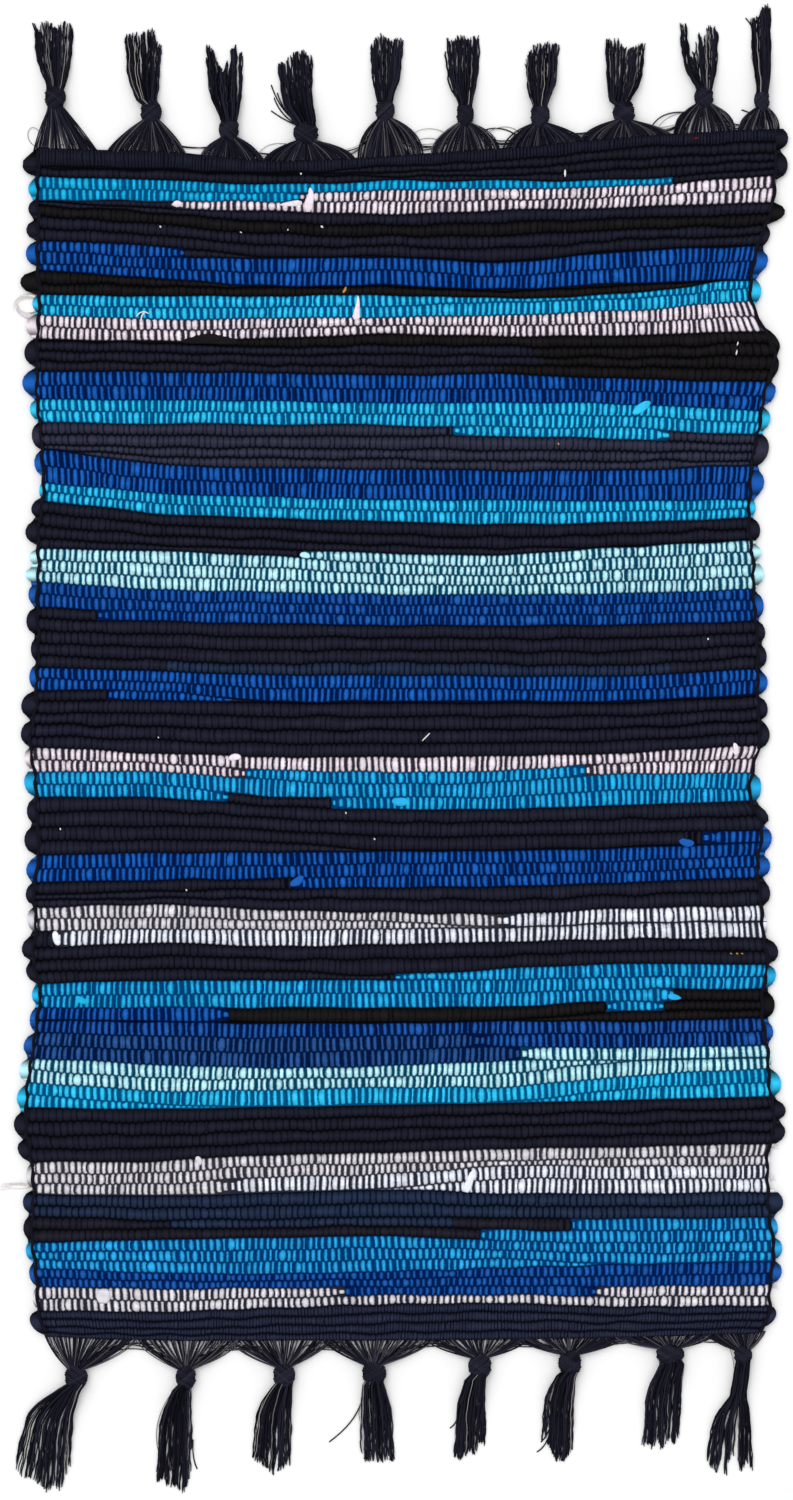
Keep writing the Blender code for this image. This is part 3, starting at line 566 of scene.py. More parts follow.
def mesh_piece(name, points, quads, material, corners=None, point_values=None):
    """A smooth-shaded mesh object of quads, with colours and vectors on corners or points."""
    mesh = bpy.data.meshes.new(name)
    mesh.from_pydata(points.tolist(), [], quads.tolist())
    mesh.polygons.foreach_set("use_smooth", np.ones(len(quads), bool))
    for domain, layers in (("CORNER", corners), ("POINT", point_values)):
        for label, values in (layers or {}).items():
            colour = values.shape[-1] == 4
            kind = "FLOAT_COLOR" if colour else "FLOAT_VECTOR"
            layer = mesh.attributes.new(label, kind, domain)
            flat = np.ascontiguousarray(values, dtype=np.float32).ravel()
            layer.data.foreach_set("color" if colour else "vector", flat)
    mesh.update()
    piece = bpy.data.objects.new(name, mesh)
    bpy.context.scene.collection.objects.link(piece)
    piece.data.materials.append(material)
    return piece


class Nodes:
    """Short calls for building a material's node tree."""

    def __init__(self, name):
        self.material = bpy.data.materials.new(name)
        self.material.use_nodes = True
        self.tree = self.material.node_tree
        self.shader = self.tree.nodes["Principled BSDF"]

    def add(self, kind, **settings):
        node = self.tree.nodes.new(kind)
        for key, value in settings.items():
            setattr(node, key, value)
        return node

    def feed(self, socket, value):
        if isinstance(value, bpy.types.NodeSocket):
            self.tree.links.new(value, socket)
        else:
            socket.default_value = value

    def maths(self, operation, *values, clamp=False):
        node = self.add("ShaderNodeMath", operation=operation, use_clamp=clamp)
        for socket, value in zip(node.inputs, values):
            self.feed(socket, value)
        return node.outputs[0]

    def plus(self, *values, **settings):
        return self.maths("ADD", *values, **settings)

    def minus(self, *values, **settings):
        return self.maths("SUBTRACT", *values, **settings)

    def times(self, *values, **settings):
        return self.maths("MULTIPLY", *values, **settings)

    def smoothstep(self, value, low, high):
        node = self.add("ShaderNodeMapRange", interpolation_type="SMOOTHSTEP")
        for label, given in (("Value", value), ("From Min", low), ("From Max", high)):
            self.feed(node.inputs[label], given)
        return node.outputs["Result"]

    def mix(self, share, first, second):
        node = self.add("ShaderNodeMix", data_type="RGBA")
        self.feed(node.inputs["Factor"], share)
        self.feed(node.inputs[6], first)
        self.feed(node.inputs[7], second)
        return node.outputs[2]

    def attribute(self, name):
        return self.add("ShaderNodeAttribute", attribute_name=name)

    def noise(self, scale, detail, stretch=None):
        """Noise in the object's own metres; scale is waves per metre."""
        spot = self.add("ShaderNodeTexCoord").outputs["Object"]
        if stretch:
            mapping = self.add("ShaderNodeMapping")
            mapping.inputs["Scale"].default_value = stretch
            self.feed(mapping.inputs["Vector"], spot)
            spot = mapping.outputs["Vector"]
        node = self.add("ShaderNodeTexNoise")
        self.feed(node.inputs["Vector"], spot)
        node.inputs["Scale"].default_value = scale
        node.inputs["Detail"].default_value = detail
        return node.outputs["Fac"]

    def varied(self, least, span, *noise):
        """Noise that runs from least up to least and span together."""
        return self.plus(self.times(self.noise(*noise), span), least)

    def brighten(self, colour, *factors):
        """Colour times each factor, a number that a socket gives."""
        for factor in factors:
            scale = self.add("ShaderNodeVectorMath", operation="SCALE")
            self.feed(scale.inputs[0], colour)
            self.feed(scale.inputs["Scale"], factor)
            colour = scale.outputs[0]
        return colour

    def bump(self, height, strength, distance):
        node = self.add("ShaderNodeBump")
        node.inputs["Strength"].default_value = strength
        node.inputs["Distance"].default_value = distance
        self.feed(node.inputs["Height"], height)
        self.feed(self.shader.inputs["Normal"], node.outputs["Normal"])

    def finish(self, colour, roughness):
        """The matt material, with hardly any shine."""
        self.feed(self.shader.inputs["Base Color"], colour)
        self.feed(self.shader.inputs["Roughness"], roughness)
        self.shader.inputs["Specular IOR Level"].default_value = 0.03
        return self.material


def weave_material():
    """Rag weft packed over warps: rounded cells with a dark gap at each warp, their sides and gaps
    darkened by painted shade.
    """
    n = Nodes("rag_weave")
    weave = n.add("ShaderNodeSeparateXYZ")
    n.feed(weave.inputs[0], n.attribute("weave").outputs["Vector"])
    across, along, height = weave.outputs
    rag, gap = n.attribute("rag"), n.attribute("gap")
    depth = gap.outputs["Alpha"]

    # How far outside a rounded cell each place is, in photo pixels, with a ragged edge.
    ragged = n.times(n.minus(n.noise(650, 3), 0.5), 1.5)
    from_middle = n.maths("ABSOLUTE", n.minus(n.maths("FRACT", across), 0.5))
    from_middle = n.times(from_middle, CELL_WIDTH)
    from_crest = n.times(n.maths("ABSOLUTE", n.minus(along, 0.5)), height)
    half_width = n.minus(4.4, n.times(depth, 2.75))
    half_height = n.minus(n.times(height, 0.5), 0.6)
    corner = n.times(n.maths("MINIMUM", half_width, half_height), 0.65)
    beyond_x = n.maths("MAXIMUM", n.minus(from_middle, n.minus(half_width, corner)), 0.0)
    beyond_y = n.maths("MAXIMUM", n.minus(from_crest, n.minus(half_height, corner)), 0.0)
    squares = n.plus(n.maths("POWER", beyond_x, 2.0), n.maths("POWER", beyond_y, 2.0))
    outside = n.plus(n.minus(n.maths("SQRT", squares), corner), ragged)
    # cell runs from the crest to the gap colour: painted shade down each rounded cell's sides, with
    # the dark warp in the gap.
    cell = n.minus(1.0, n.smoothstep(outside, -1.3, 0.6))

    # The rag's own unevenness, and shade down the sides of picks that show no cells.
    streaks = n.varied(0.75, 0.5, 1100, 3, (1.0, 0.22, 1.0))
    fading = n.varied(0.85, 0.3, 28, 2)
    bands = n.varied(0.78, 0.44, 170, 3, (0.3, 1.6, 1.0))
    fall = n.smoothstep(n.maths("DIVIDE", from_crest, height), 0.0, 0.48)
    smoothness = n.times(n.minus(1.0, depth, clamp=True), 0.9)
    crown = n.minus(1.0, n.times(fall, smoothness))
    lit = n.brighten(rag.outputs["Color"], streaks, fading, bands)
    colour = n.brighten(n.mix(cell, gap.outputs["Color"], lit), crown)
    # The painted shade keeps its colour: the darker sides are made a little more saturated.
    vivid = n.add("ShaderNodeHueSaturation")
    n.feed(vivid.inputs["Saturation"], n.minus(1.04, n.times(cell, 0.04)))
    n.feed(vivid.inputs["Color"], colour)
    n.bump(n.plus(n.times(n.noise(2400, 3), 0.5), cell), 0.35, 0.0006)
    return n.finish(vivid.outputs["Color"], n.varied(0.72, 0.2, 900, 2))


def yarn_material(name, dark, light):
    """Plied cotton warp: fine slanting ply lines painted as lit ridges and shaded grooves, and slow
    changes of tone along it.
    """
    n = Nodes(name)
    yarn = n.add("ShaderNodeSeparateXYZ")
    n.feed(yarn.inputs[0], n.attribute("yarn").outputs["Vector"])
    along, around, shade = yarn.outputs
    turn = n.plus(n.times(along, 2.2), around)
    ply = n.times(n.maths("ABSOLUTE", n.minus(n.maths("FRACT", turn), 0.5)), 2.0)
    share = n.times(shade, n.varied(0.2, 0.9, 900, 3), clamp=True)
    colour = n.mix(share, (*srgb(dark), 1.0), (*srgb(light), 1.0))
    # Shades above 1 turn towards the pale colour: pale fibres that also stand in for painted
    # glints.
    colour = n.mix(n.minus(shade, 1.0, clamp=True), colour, (*srgb(PALE_FIBRE_AND_GLINT), 1.0))
    # Painted shade: each ply is lighter along its ridge and darker in the groove beside the next.
    colour = n.brighten(colour, n.plus(n.times(ply, 0.55), 0.6))
    n.bump(n.plus(ply, n.noise(3000, 2)), 0.4, 0.0003)
    return n.finish(colour, n.varied(0.65, 0.25, 1200, 2))


def floor_material():
    """Matt white paper sweep with a trace of mottling."""
    n = Nodes("paper_sweep")
    return n.finish(n.brighten((0.97, 0.97, 0.97), n.varied(0.985, 0.01, 6, 2)), 0.9)


class Cloth:
    """The rug's outline and picks as arrays, shared by the face, the underside and the trim.

    For each line between picks, wobble says how it wanders. For each pick and gap or cell,
    delta says how far the gap strays, strength how dark it is, and tone how light the cell is.
    """

    def __init__(self):
        self.rng = np.random.default_rng(SEED)
        self.runs, self.edges = read_picks()
        self.picks = len(self.runs)
        self.wobble_x = np.linspace(0, PHOTO_WIDTH, 200)
        lines = (self.picks + 1,)
        self.wobble = wander(self.rng, lines, self.wobble_x, WOBBLE_LENGTH) * WOBBLE
        self.wobble[[0, -1]] *= 0.4
        self.wobble += self.dark_wobble()
        self.delta = self.rng.normal(0, GAP_STRAY, (self.picks, CELLS + 2))
        strength = self.rng.normal(GAP_STRENGTH, STRENGTH_SPREAD, (self.picks, CELLS + 2))
        self.strength = np.clip(strength, 0.5, 1.25) * self.gap_depths()
        self.tone = 1 + self.rng.normal(0, TONE_SPREAD, (self.picks, CELLS + 2))
        self.widen_cells()

    def widen_cells(self):
        """Some cells push the gaps on both sides apart and squeeze the cells beside them."""
        wide = np.random.default_rng(SEED + 2).random((self.picks, CELLS + 1)) < WIDE_SHARE
        self.delta[:, :-1] -= WIDE_PUSH * wide
        self.delta[:, 1:] += WIDE_PUSH * wide
        self.delta = np.clip(self.delta, -MOST_STRAY, MOST_STRAY)
        self.tone[:, :-1] += WIDE_TONE * wide

    def dark_wobble(self):
        """Shorter waves for the lines between two dark picks, which lie less evenly."""
        dark = np.array([all(name in SMOOTH_RAGS for _, name in run) for run in self.runs])
        between = np.concatenate([[False], dark[:-1] & dark[1:], [False]])
        rng = np.random.default_rng(SEED + 1)
        waves = wander(rng, (self.picks + 1,), self.wobble_x, DARK_WOBBLE_LENGTH)
        return DARK_WOBBLE * waves * between[:, None]

    def gap_depths(self):
        """How deep the dips between cells are: dark rags are packed smooth."""
        x = np.linspace(EDGES[0][1], EDGES[0][2], CELLS + 2)
        return np.array([[DEPTHS.get(rag_at(run, at), 1.0) for at in x] for run in self.runs])

    def lines(self, x):
        """Lower edges of all picks, and the far end's edge, at each x."""
        y = smooth(STATIONS, self.edges, x)
        y = y + np.stack([np.interp(x, self.wobble_x, w) for w in self.wobble])
        for p in range(1, len(y)):
            y[p] = np.maximum(y[p], y[p - 1] + THINNEST_PICK)
        return y

    def warp_x(self, y, side):
        """x of the outermost warp, side 0 for the left and 1 for the right."""
        table = np.array(EDGES, float)
        return smooth(table[:, 0], table[:, 1 + side], y)

    def slow_warp_x(self, y, side):
        """x of the outermost warp with its short bends smoothed away."""
        near = [np.clip(y + step, *EDGE_SPAN) for step in MEAN_STEPS]
        return np.mean([self.warp_x(at, side) for at in near], axis=0)

    def reach(self, y, side):
        """How far the loops reach beyond the outermost warp at y."""
        out = np.full(np.shape(y), LEAST_REACH)
        for top, bottom, far, _ in LOOPS[side]:
            middle = (top + bottom) / 2
            t = np.clip((y - middle) / ((bottom - top) / 2 + 0.01), -1, 1)
            size = abs(far - self.warp_x(middle, side))
            out = np.maximum(out, size * np.sqrt(1 - t * t))
        return out


def loop_rag(y, side, otherwise):
    """The rag of the selvage loop at y."""
    return next((rag for top, bottom, _, rag in LOOPS[side] if top <= y <= bottom), otherwise)


def pick_middle(y):
    """For the rows inside each pick, y of its middle; the lines between picks keep their own."""
    out = np.array(y, float)
    for k in range(0, len(y) - 1, ROWS_PER_PICK):
        out[k + 1 : k + ROWS_PER_PICK] = (y[k] + y[k + ROWS_PER_PICK]) / 2
    return out


def relief(cloth, phase, shift, lines, thick):
    """Each pick's rows: flat on the line before it, then risen, with a dip at each warp.

    Gives their y, and how far each place rises, dips, and slides along with the nearest gap.
    """
    inward = np.minimum(1, np.minimum(phase, CELLS - phase))
    rows, crowns, dips, slides = [], [], [], []
    for p in range(cloth.picks):
        rise = np.clip(thick[p] / 10, 0.2, 1)
        u = phase + shift[p]
        near = np.clip(np.round(u).astype(int), 0, CELLS + 1)
        at_gap = 1 - 2 * np.abs(u - np.round(u))
        for k in range(ROWS_PER_PICK):
            risen = 1.0 if k else 0.0
            rows.append(lines[p] + thick[p] * k / ROWS_PER_PICK)
            crowns.append(risen * rise)
            dips.append(at_gap**2 * cloth.strength[p, near] * (1.0 if k else 0.5) * rise)
            slides.append(risen * cloth.delta[p, near] * at_gap * inward)
    last = np.zeros_like(phase)
    ends = (lines[-1], last, last, last)
    return [np.array([*values, end]) for values, end in zip((rows, crowns, dips, slides), ends)]


def side_loops(cloth, y, warp, side, under):
    """x, y and height of the selvage loops' columns, from the outermost warp outwards."""
    steps = np.linspace(0, 1, LOOP_COLUMNS + 1)[1:] ** 0.8
    out = cloth.reach(y, side)[:, None]
    puffed = np.minimum(1, out / FULL_REACH)
    if under:
        lift = RIM + (UNDER_CREST + 0.2 - RIM) * (1 - steps**2.2) * puffed
    else:
        lift = RIM + (PUFF - RIM) * (1 - steps**3) * (0.55 + 0.45 * puffed)
    lift[:, -1] = RIM
    lift[[0, -1]] = RIM
    return warp[:, None] + (2 * side - 1) * out * steps, y[:, None] + 0 * steps, lift


def weave_grid(cloth, columns_per_cell, under):
    """The whole face or underside: points and their photo pixels, the place of each column in
    cells, the half cell by which every other pick is shifted, and how thick the picks are."""
    phase = np.arange(CELLS * columns_per_cell + 1) / columns_per_cell
    rough_x = EDGES[0][1] + (EDGES[0][2] - EDGES[0][1]) * phase / CELLS
    shift = 0.5 * ((np.arange(cloth.picks) + under) % 2)
    from_side = np.minimum(phase, CELLS - phase)

    # Row lines, with each pick's cells reaching into the gaps of the next one.
    lines = cloth.lines(rough_x)
    thick = np.diff(lines, axis=0)
    room = np.minimum(1, np.minimum(thick[:-1], thick[1:]) / 9)
    wave = np.cos(2 * math.pi * (phase[None, :] + shift[:-1, None]))
    lines[1:-1] -= INTERLOCK * room * wave
    thick = np.maximum(np.diff(lines, axis=0), 0.4)

    y, crown, dip, slide = relief(cloth, phase, shift, lines, thick)
    if under:
        z = UNDER_VALLEY - (UNDER_VALLEY - UNDER_CREST) * (crown - 0.35 * dip)
        z = np.clip(z, UNDER_CREST, None)
    else:
        z = VALLEY + (CREST - VALLEY) * crown - GAP_DIP * dip
    z[[0, -1]] = RIM

    # Across the cloth from one outermost warp to the other, and then the loops beyond them.
    left, right = cloth.warp_x(y[:, 0], 0), cloth.warp_x(y[:, -1], 1)
    inner_left = cloth.slow_warp_x(pick_middle(y[:, 0]), 0)
    inner_right = cloth.slow_warp_x(pick_middle(y[:, -1]), 1)
    sway = 0.35 * np.sin(y / 37 + phase / 5.3) * np.minimum(1, from_side / 6)
    share = (phase + slide + sway) / CELLS
    slanted = left[:, None] + (right - left)[:, None] * share
    upright = inner_left[:, None] + (inner_right - inner_left)[:, None] * share
    weight = 1 - (1 - np.minimum(1, from_side / SLANT_CELLS)) ** 2
    x = slanted + (upright - slanted) * weight
    left_loops = side_loops(cloth, y[:, 0], left, 0, under)
    right_loops = side_loops(cloth, y[:, -1], right, 1, under)
    x, y, z = (
        np.concatenate([first[:, ::-1], inner, last], axis=1)
        for first, inner, last in zip(left_loops, (x, y, z), right_loops)
    )
    thick = np.pad(thick, ((0, 0), (LOOP_COLUMNS, LOOP_COLUMNS)), mode="edge")
    beside = np.linspace(0.001, 0.999, LOOP_COLUMNS)
    phase = np.concatenate([-beside[::-1], phase, CELLS + beside])
    return place(x, y, z), x, y, phase, shift, thick


def fold_place(y, side):
    """How far down its selvage loop each y lies, from 0 to 1, and the loop's length."""
    down, length = np.zeros(len(y)), np.full(len(y), 12.0)
    for top, bottom, _, _ in LOOPS[side]:
        here = (y >= top) & (y <= bottom)
        down[here] = (y[here] - top) / (bottom - top)
        length[here] = bottom - top
    return down, length


def colour_of(name, which):
    """A rag's linear colour: 0 for its crest and 1 for the colour between its cells, warp and
    painted shade.
    """
    return srgb(RAGS[name][which])


def to_corners(columns):
    """Values at the columns, for the four corners of every quad between two columns."""
    return np.stack([columns[:-1], columns[:-1], columns[1:], columns[1:]], axis=1)


def weave_values(cloth, x, y, phase, shift, thick, first, last):
    """Corner values for the picks from first up to last: place in the weave, rag and gap."""
    middle = (phase[:-1] + phase[1:]) / 2
    loop = (middle < 0) | (middle > CELLS)
    folds = [fold_place(y[:, 0], 0), fold_place(y[:, -1], 1)]
    weave, rag, gap = [], [], []
    for p in range(first, last):
        u = phase + shift[p]
        mid = middle + shift[p]
        near = np.clip(np.round(mid).astype(int), 0, CELLS + 1)
        cell = np.clip(np.floor(mid).astype(int), 0, CELLS + 1)
        centre = np.interp(cell + 0.5 - shift[p], phase, x[p * ROWS_PER_PICK + 1])
        names = [rag_at(cloth.runs[p], c) for c in centre]
        height = (thick[p][:-1] + thick[p][1:]) / 2
        # Thin picks show less of their crest, so they take more of the gap colour and its painted
        # shade.
        shown = np.clip((height - 1.5) / 2.5, 0, 1)[:, None]
        tone = np.where(loop, 1.0, cloth.tone[p, cell])[:, None]
        strength = np.where(loop, 0.0, cloth.strength[p, near])[:, None]
        from_end = np.min([np.abs(centre - end) for end, _ in cloth.runs[p]], axis=0)
        dull = np.array([name in SMOOTH_RAGS for name in names])
        squeeze = np.where(dull, 1.0, np.clip(0.4 + from_end / 30, 0.4, 1.0))[:, None]
        for k in range(ROWS_PER_PICK):
            level = y[p * ROWS_PER_PICK + k] + height[0] / ROWS_PER_PICK / 2
            for c in np.flatnonzero(loop):
                names[c] = loop_rag(level[c], int(middle[c] > 0), names[c])
            dark = np.array([colour_of(name, 1) for name in names])
            bright = np.array([colour_of(name, 0) for name in names]) * tone
            bright = np.concatenate([dark + (bright - dark) * shown, np.ones_like(tone)], axis=1)
            dark = np.concatenate([dark, strength], axis=1)
            v = np.array([k, k + 1, k + 1, k]) / ROWS_PER_PICK
            fine = np.array([name in FINE_RAGS for name in names])[:, None]
            ends = to_corners(u)
            ends = np.where(fine, 2 * ends + 0.5, ends)
            tall = to_corners(thick[p])
            v = 0.5 + (v - 0.5) / squeeze
            row = p * ROWS_PER_PICK + k
            # In the selvage loops v runs down each loop, so the painted shade darkens every loop
            # towards its top and bottom.
            for side, mine in ((0, middle < 0), (1, middle > CELLS)):
                upper, lower = folds[side][0][row], folds[side][0][row + 1]
                v[mine] = (upper, lower, lower, upper)
                tall[mine] = folds[side][1][row]
            weave.append(np.stack([ends, v, tall], axis=-1))
            rag.append(np.repeat(bright[:, None, :], 4, axis=1))
            gap.append(np.repeat(dark[:, None, :], 4, axis=1))
    return {
        "weave": np.array(weave).reshape(-1, 3),
        "rag": np.array(rag).reshape(-1, 4),
        "gap": np.array(gap).reshape(-1, 4),
    }


def weave_piece(name, cloth, grid, material, first, last, under=False):
    """One stretch of the cloth, from pick first up to pick last."""
    points, x, y, phase, shift, thick = grid
    block = points[first * ROWS_PER_PICK : last * ROWS_PER_PICK + 1]
    rows, columns = block.shape[:2]
    index = np.arange(rows * columns).reshape(rows, columns)
    quads = np.stack([index[:-1, :-1], index[1:, :-1], index[1:, 1:], index[:-1, 1:]], axis=-1)
    quads = quads.reshape(-1, 4)
    corners = weave_values(cloth, x, y, phase, shift, thick, first, last)
    if under:
        quads = quads[:, ::-1]
        for label, values in corners.items():
            turned = values.reshape(-1, 4, values.shape[-1])[:, ::-1]
            corners[label] = turned.reshape(values.shape)
    piece = mesh_piece(name, block.reshape(-1, 3), quads, material, corners)
    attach(piece, "root")
    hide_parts("woven_body")
    return piece


class Yarns:
    """Tubes gathered into one mesh, with the place along and around each, and its shade."""

    def __init__(self):
        self.points, self.quads, self.values, self.count = [], [], [], 0

    def tube(self, path, radius, shade=0.5, sides=4, up=(0, 0, 1), flat=1.0):
        """A tube of radius in millimetres along a path in metres, closed at both ends."""
        path = np.asarray(path, float)
        steps = len(path)
        tangent = np.gradient(path, axis=0)
        tangent /= np.linalg.norm(tangent, axis=1, keepdims=True) + 1e-12
        side = np.cross(tangent, up)
        side /= np.linalg.norm(side, axis=1, keepdims=True) + 1e-12
        top = np.cross(side, tangent) * flat
        angle = np.arange(sides) * 2 * math.pi / sides
        radius = np.broadcast_to(np.asarray(radius, float) * MM, steps)
        ring = side[:, None, :] * np.cos(angle)[:, None] + top[:, None, :] * np.sin(angle)[:, None]
        points = path[:, None, :] + ring * radius[:, None, None]
        index = self.count + np.arange(steps * sides).reshape(steps, sides)
        after = np.roll(index, -1, axis=1)
        walls = np.stack([index[:-1], index[1:], after[1:], after[:-1]], axis=-1).reshape(-1, 4)
        fans = [(0, 2 * k - 1, 2 * k, 2 * k + 1) for k in range(1, sides // 2)]
        caps = [index[0][list(f)] for f in fans] + [index[-1][list(f)][::-1] for f in fans]
        length = np.concatenate([[0], np.cumsum(np.linalg.norm(np.diff(path, axis=0), axis=1))])
        values = np.stack(
            [
                np.repeat(length[:, None] / (2 * MM), sides, axis=1),
                np.broadcast_to(np.arange(sides) / sides, (steps, sides)),
                np.full((steps, sides), shade),
            ],
            axis=-1,
        )
        self.points.append(points.reshape(-1, 3))
        self.quads += [walls, np.array(caps)]
        self.values.append(values.reshape(-1, 3))
        self.count += steps * sides

    def lay(self, path, height, radius, shade):
        """A tube along a path in photo pixels, at heights in millimetres."""
        self.tube(place(path[:, 0], path[:, 1], height), radius, shade)

    def piece(self, name, material):
        return mesh_piece(
            name,
            np.concatenate(self.points),
            np.concatenate(self.quads),
            material,
            point_values={"yarn": np.concatenate(self.values)},
        )


def bezier(points, steps):
    """Points along a Bezier curve that 3 or 4 control points shape."""
    points = np.asarray(points, float)
    degree = len(points) - 1
    t = np.linspace(0, 1, steps)[:, None]
    return sum(
        math.comb(degree, k) * t**k * (1 - t) ** (degree - k) * points[k] for k in range(degree + 1)
    )


def end_y(cloth, x, out):
    """y of the cloth's far end, for out -1, or of its near end, for out 1, at x."""
    return cloth.lines(np.array([x]))[0 if out < 0 else -1, 0]


def fan(yarns, rng, cloth, name, out):
    """Warp ends that leave the cloth side by side and gather at the knot's foot, in layers one
    above the other. The top layer rises the most towards the knot."""
    knot_x, knot_y, half_width, half_length, left, right, domed, layers = TASSELS[name][:8]
    foot_y = knot_y - out * (half_length - 3)
    count = int((right - left) / FAN_PITCH)
    t = np.linspace(0, 1, FAN_POINTS)
    for layer in range(layers):
        low = layer / (layers - 1)
        for i in range(count):
            q = (i + 0.5 + 0.6 * rng.uniform(-1, 1)) / count * 2 - 1
            x = (left + right) / 2 + q * (right - left) / 2
            y = end_y(cloth, x, out) - out * 3
            gather_x = knot_x + 0.6 * half_width * q + rng.uniform(-1, 1)
            bulge = domed * abs(q)
            across = 0.6 + 0.42 * bulge + 0.12 * rng.uniform(-1, 1)
            upward = 0.4 + 0.3 * bulge + 0.12 * rng.uniform(-1, 1)
            control = (gather_x + (x - gather_x) * across, y + (foot_y - y) * upward)
            path = bezier([(x, y), control, (gather_x, foot_y + out * 2)], FAN_POINTS)
            height = 3.6 - 2.7 * low + (3.2 - 2.4 * low) * t**2 + 0.1 * rng.uniform(-1, 1)
            size = YARN_RADIUS * rng.uniform(0.55, 1.15)
            # Pale yarns: pale fibres, and painted highlights on the dark fan.
            pale = rng.random() < PALE_FAN_SHARE
            shade = rng.uniform(1.02, 1.16) if pale else rng.uniform(0.2, 1.0)
            yarns.lay(path, height, size, shade)


def knot_wraps(yarns, rng, name, out):
    """An overhand knot: a rounded core with a band of yarns leaning across it."""
    x, y, half_width, half_length = TASSELS[name][:4]
    middle = KNOT_TOP / 2
    wide, long = half_width - 0.6, half_length - 0.6
    core_radius = wide * PIXEL / MM
    t = np.linspace(-1, 1, CORE_POINTS)
    girth = np.sqrt(np.maximum(1 - (t * 0.96) ** 2, 0.02))
    core = place(x, y + t * long, middle)
    # The core takes the darkest yarn colour: painted shade where it shows between the wraps.
    yarns.tube(core, girth * core_radius, 0.0, sides=12, flat=(middle - 1.2) / core_radius)
    turn = np.linspace(0, 2 * math.pi, WRAP_POINTS)
    lean = rng.choice((-1, 1))
    bands = [(lean * 0.6, k) for k in range(-4, 3)] + [(-lean * 0.5, k) for k in range(-1, 5)]
    for angle, k in bands:
        along = k / 5.5
        girth = math.sqrt(1 - along * along)
        side = girth * np.cos(turn)
        ring_x = side * math.cos(angle) - along * math.sin(angle)
        ring_y = side * math.sin(angle) + along * math.cos(angle)
        rise = girth * np.sin(turn) * (middle - 1.25)
        ring = place(x + ring_x * wide, y + out * ring_y * long, middle + rise)
        # The wraps take lighter shades than the core: the yarns' own tone, and a painted highlight
        # on the knot.
        yarns.tube(ring, 0.8 + 0.35 * rng.random(), rng.uniform(0.3, 1.02), 6, up=(0.05, 1, 0.05))


def tail(yarns, rng, name, out):
    """Loose ends that open out beyond the knot, up to the ragged line of their tips."""
    knot_x, knot_y, half_width, half_length = TASSELS[name][:4]
    tail_x, neck, lean, tips = TASSELS[name][8:]
    start_y = knot_y + out * (half_length - 5)
    tip_xs, tip_ys = np.array(tips, float).T
    locks = [rng.uniform(-1, 1) for _ in range(TAIL_LOCKS)]
    t = np.linspace(0, 1, TAIL_POINTS)
    for i in range(TAIL_YARNS):
        q = (i + 0.5 + rng.uniform(-0.5, 0.5)) / TAIL_YARNS * 2 - 1
        lock = min(locks, key=lambda spot: abs(spot - q))
        end_q = q + (lock - q) * rng.uniform(0.0, 0.45)
        tip_x = tip_xs[0] + (tip_xs[-1] - tip_xs[0]) * (end_q + 1) / 2 + rng.uniform(-1, 1)
        tip_y = np.interp(tip_x, tip_xs, tip_ys) + rng.uniform(-2, 2)
        if rng.random() < SHORT_TAIL_SHARE:
            tip_y += (start_y - tip_y) * rng.uniform(0.02, 0.25)
        closed = min((neck + 2) / abs(tip_y - start_y), 0.8)
        opened = np.clip((t - closed) / (1 - closed), 0, 1)
        wide = 0.4 * opened + 0.6 * np.sin(math.pi / 2 * np.minimum(1, 2.2 * opened))
        start_x = knot_x + 0.72 * half_width * q + rng.uniform(-0.8, 0.8)
        aside = lean + tail_x - knot_x + 0.15 * half_width * q
        drift = aside * np.minimum(1, t / closed)
        kinks = rng.uniform(0.3, 1.0) * np.sin(t * rng.uniform(6, 13) + rng.uniform(0, 6))
        kinks += 0.55 * np.sin(t * rng.uniform(20, 32) + rng.uniform(0, 6))
        x = start_x + drift + (tip_x - start_x - aside) * wide + kinks * np.sqrt(t)
        y = start_y + (tip_y - start_y) * t
        level = rng.random()
        height = 0.8 + (1.0 - t) ** 1.6 * (1.2 + 5.4 * level) + 2.0 * level * (1 - 0.5 * t)
        # Thin pale yarns: pale fibres, and painted glints along the tail.
        pale = rng.random() < PALE_TAIL_SHARE
        thick = rng.uniform(0.3, 0.5) if pale else rng.uniform(0.75, 1.25)
        shade = rng.uniform(1.3, 1.9) if pale else rng.uniform(0.0, 1.0)
        size = YARN_RADIUS * thick * np.where(t > 0.97, 0.6, 1.0)
        yarns.tube(place(x, y, height), size, shade)


def stray(yarns, rng, shade, points):
    """One yarn that leaves its tassel and lies on the floor."""
    height = 0.6 + 2.2 * (1 - np.linspace(0, 1, STRAY_POINTS)) ** 2
    size = YARN_RADIUS * (0.9 if shade == "dark" else 0.5)
    yarns.lay(bezier(points, STRAY_POINTS), height, size, SHADES[shade] * rng.uniform(0.8, 1.1))


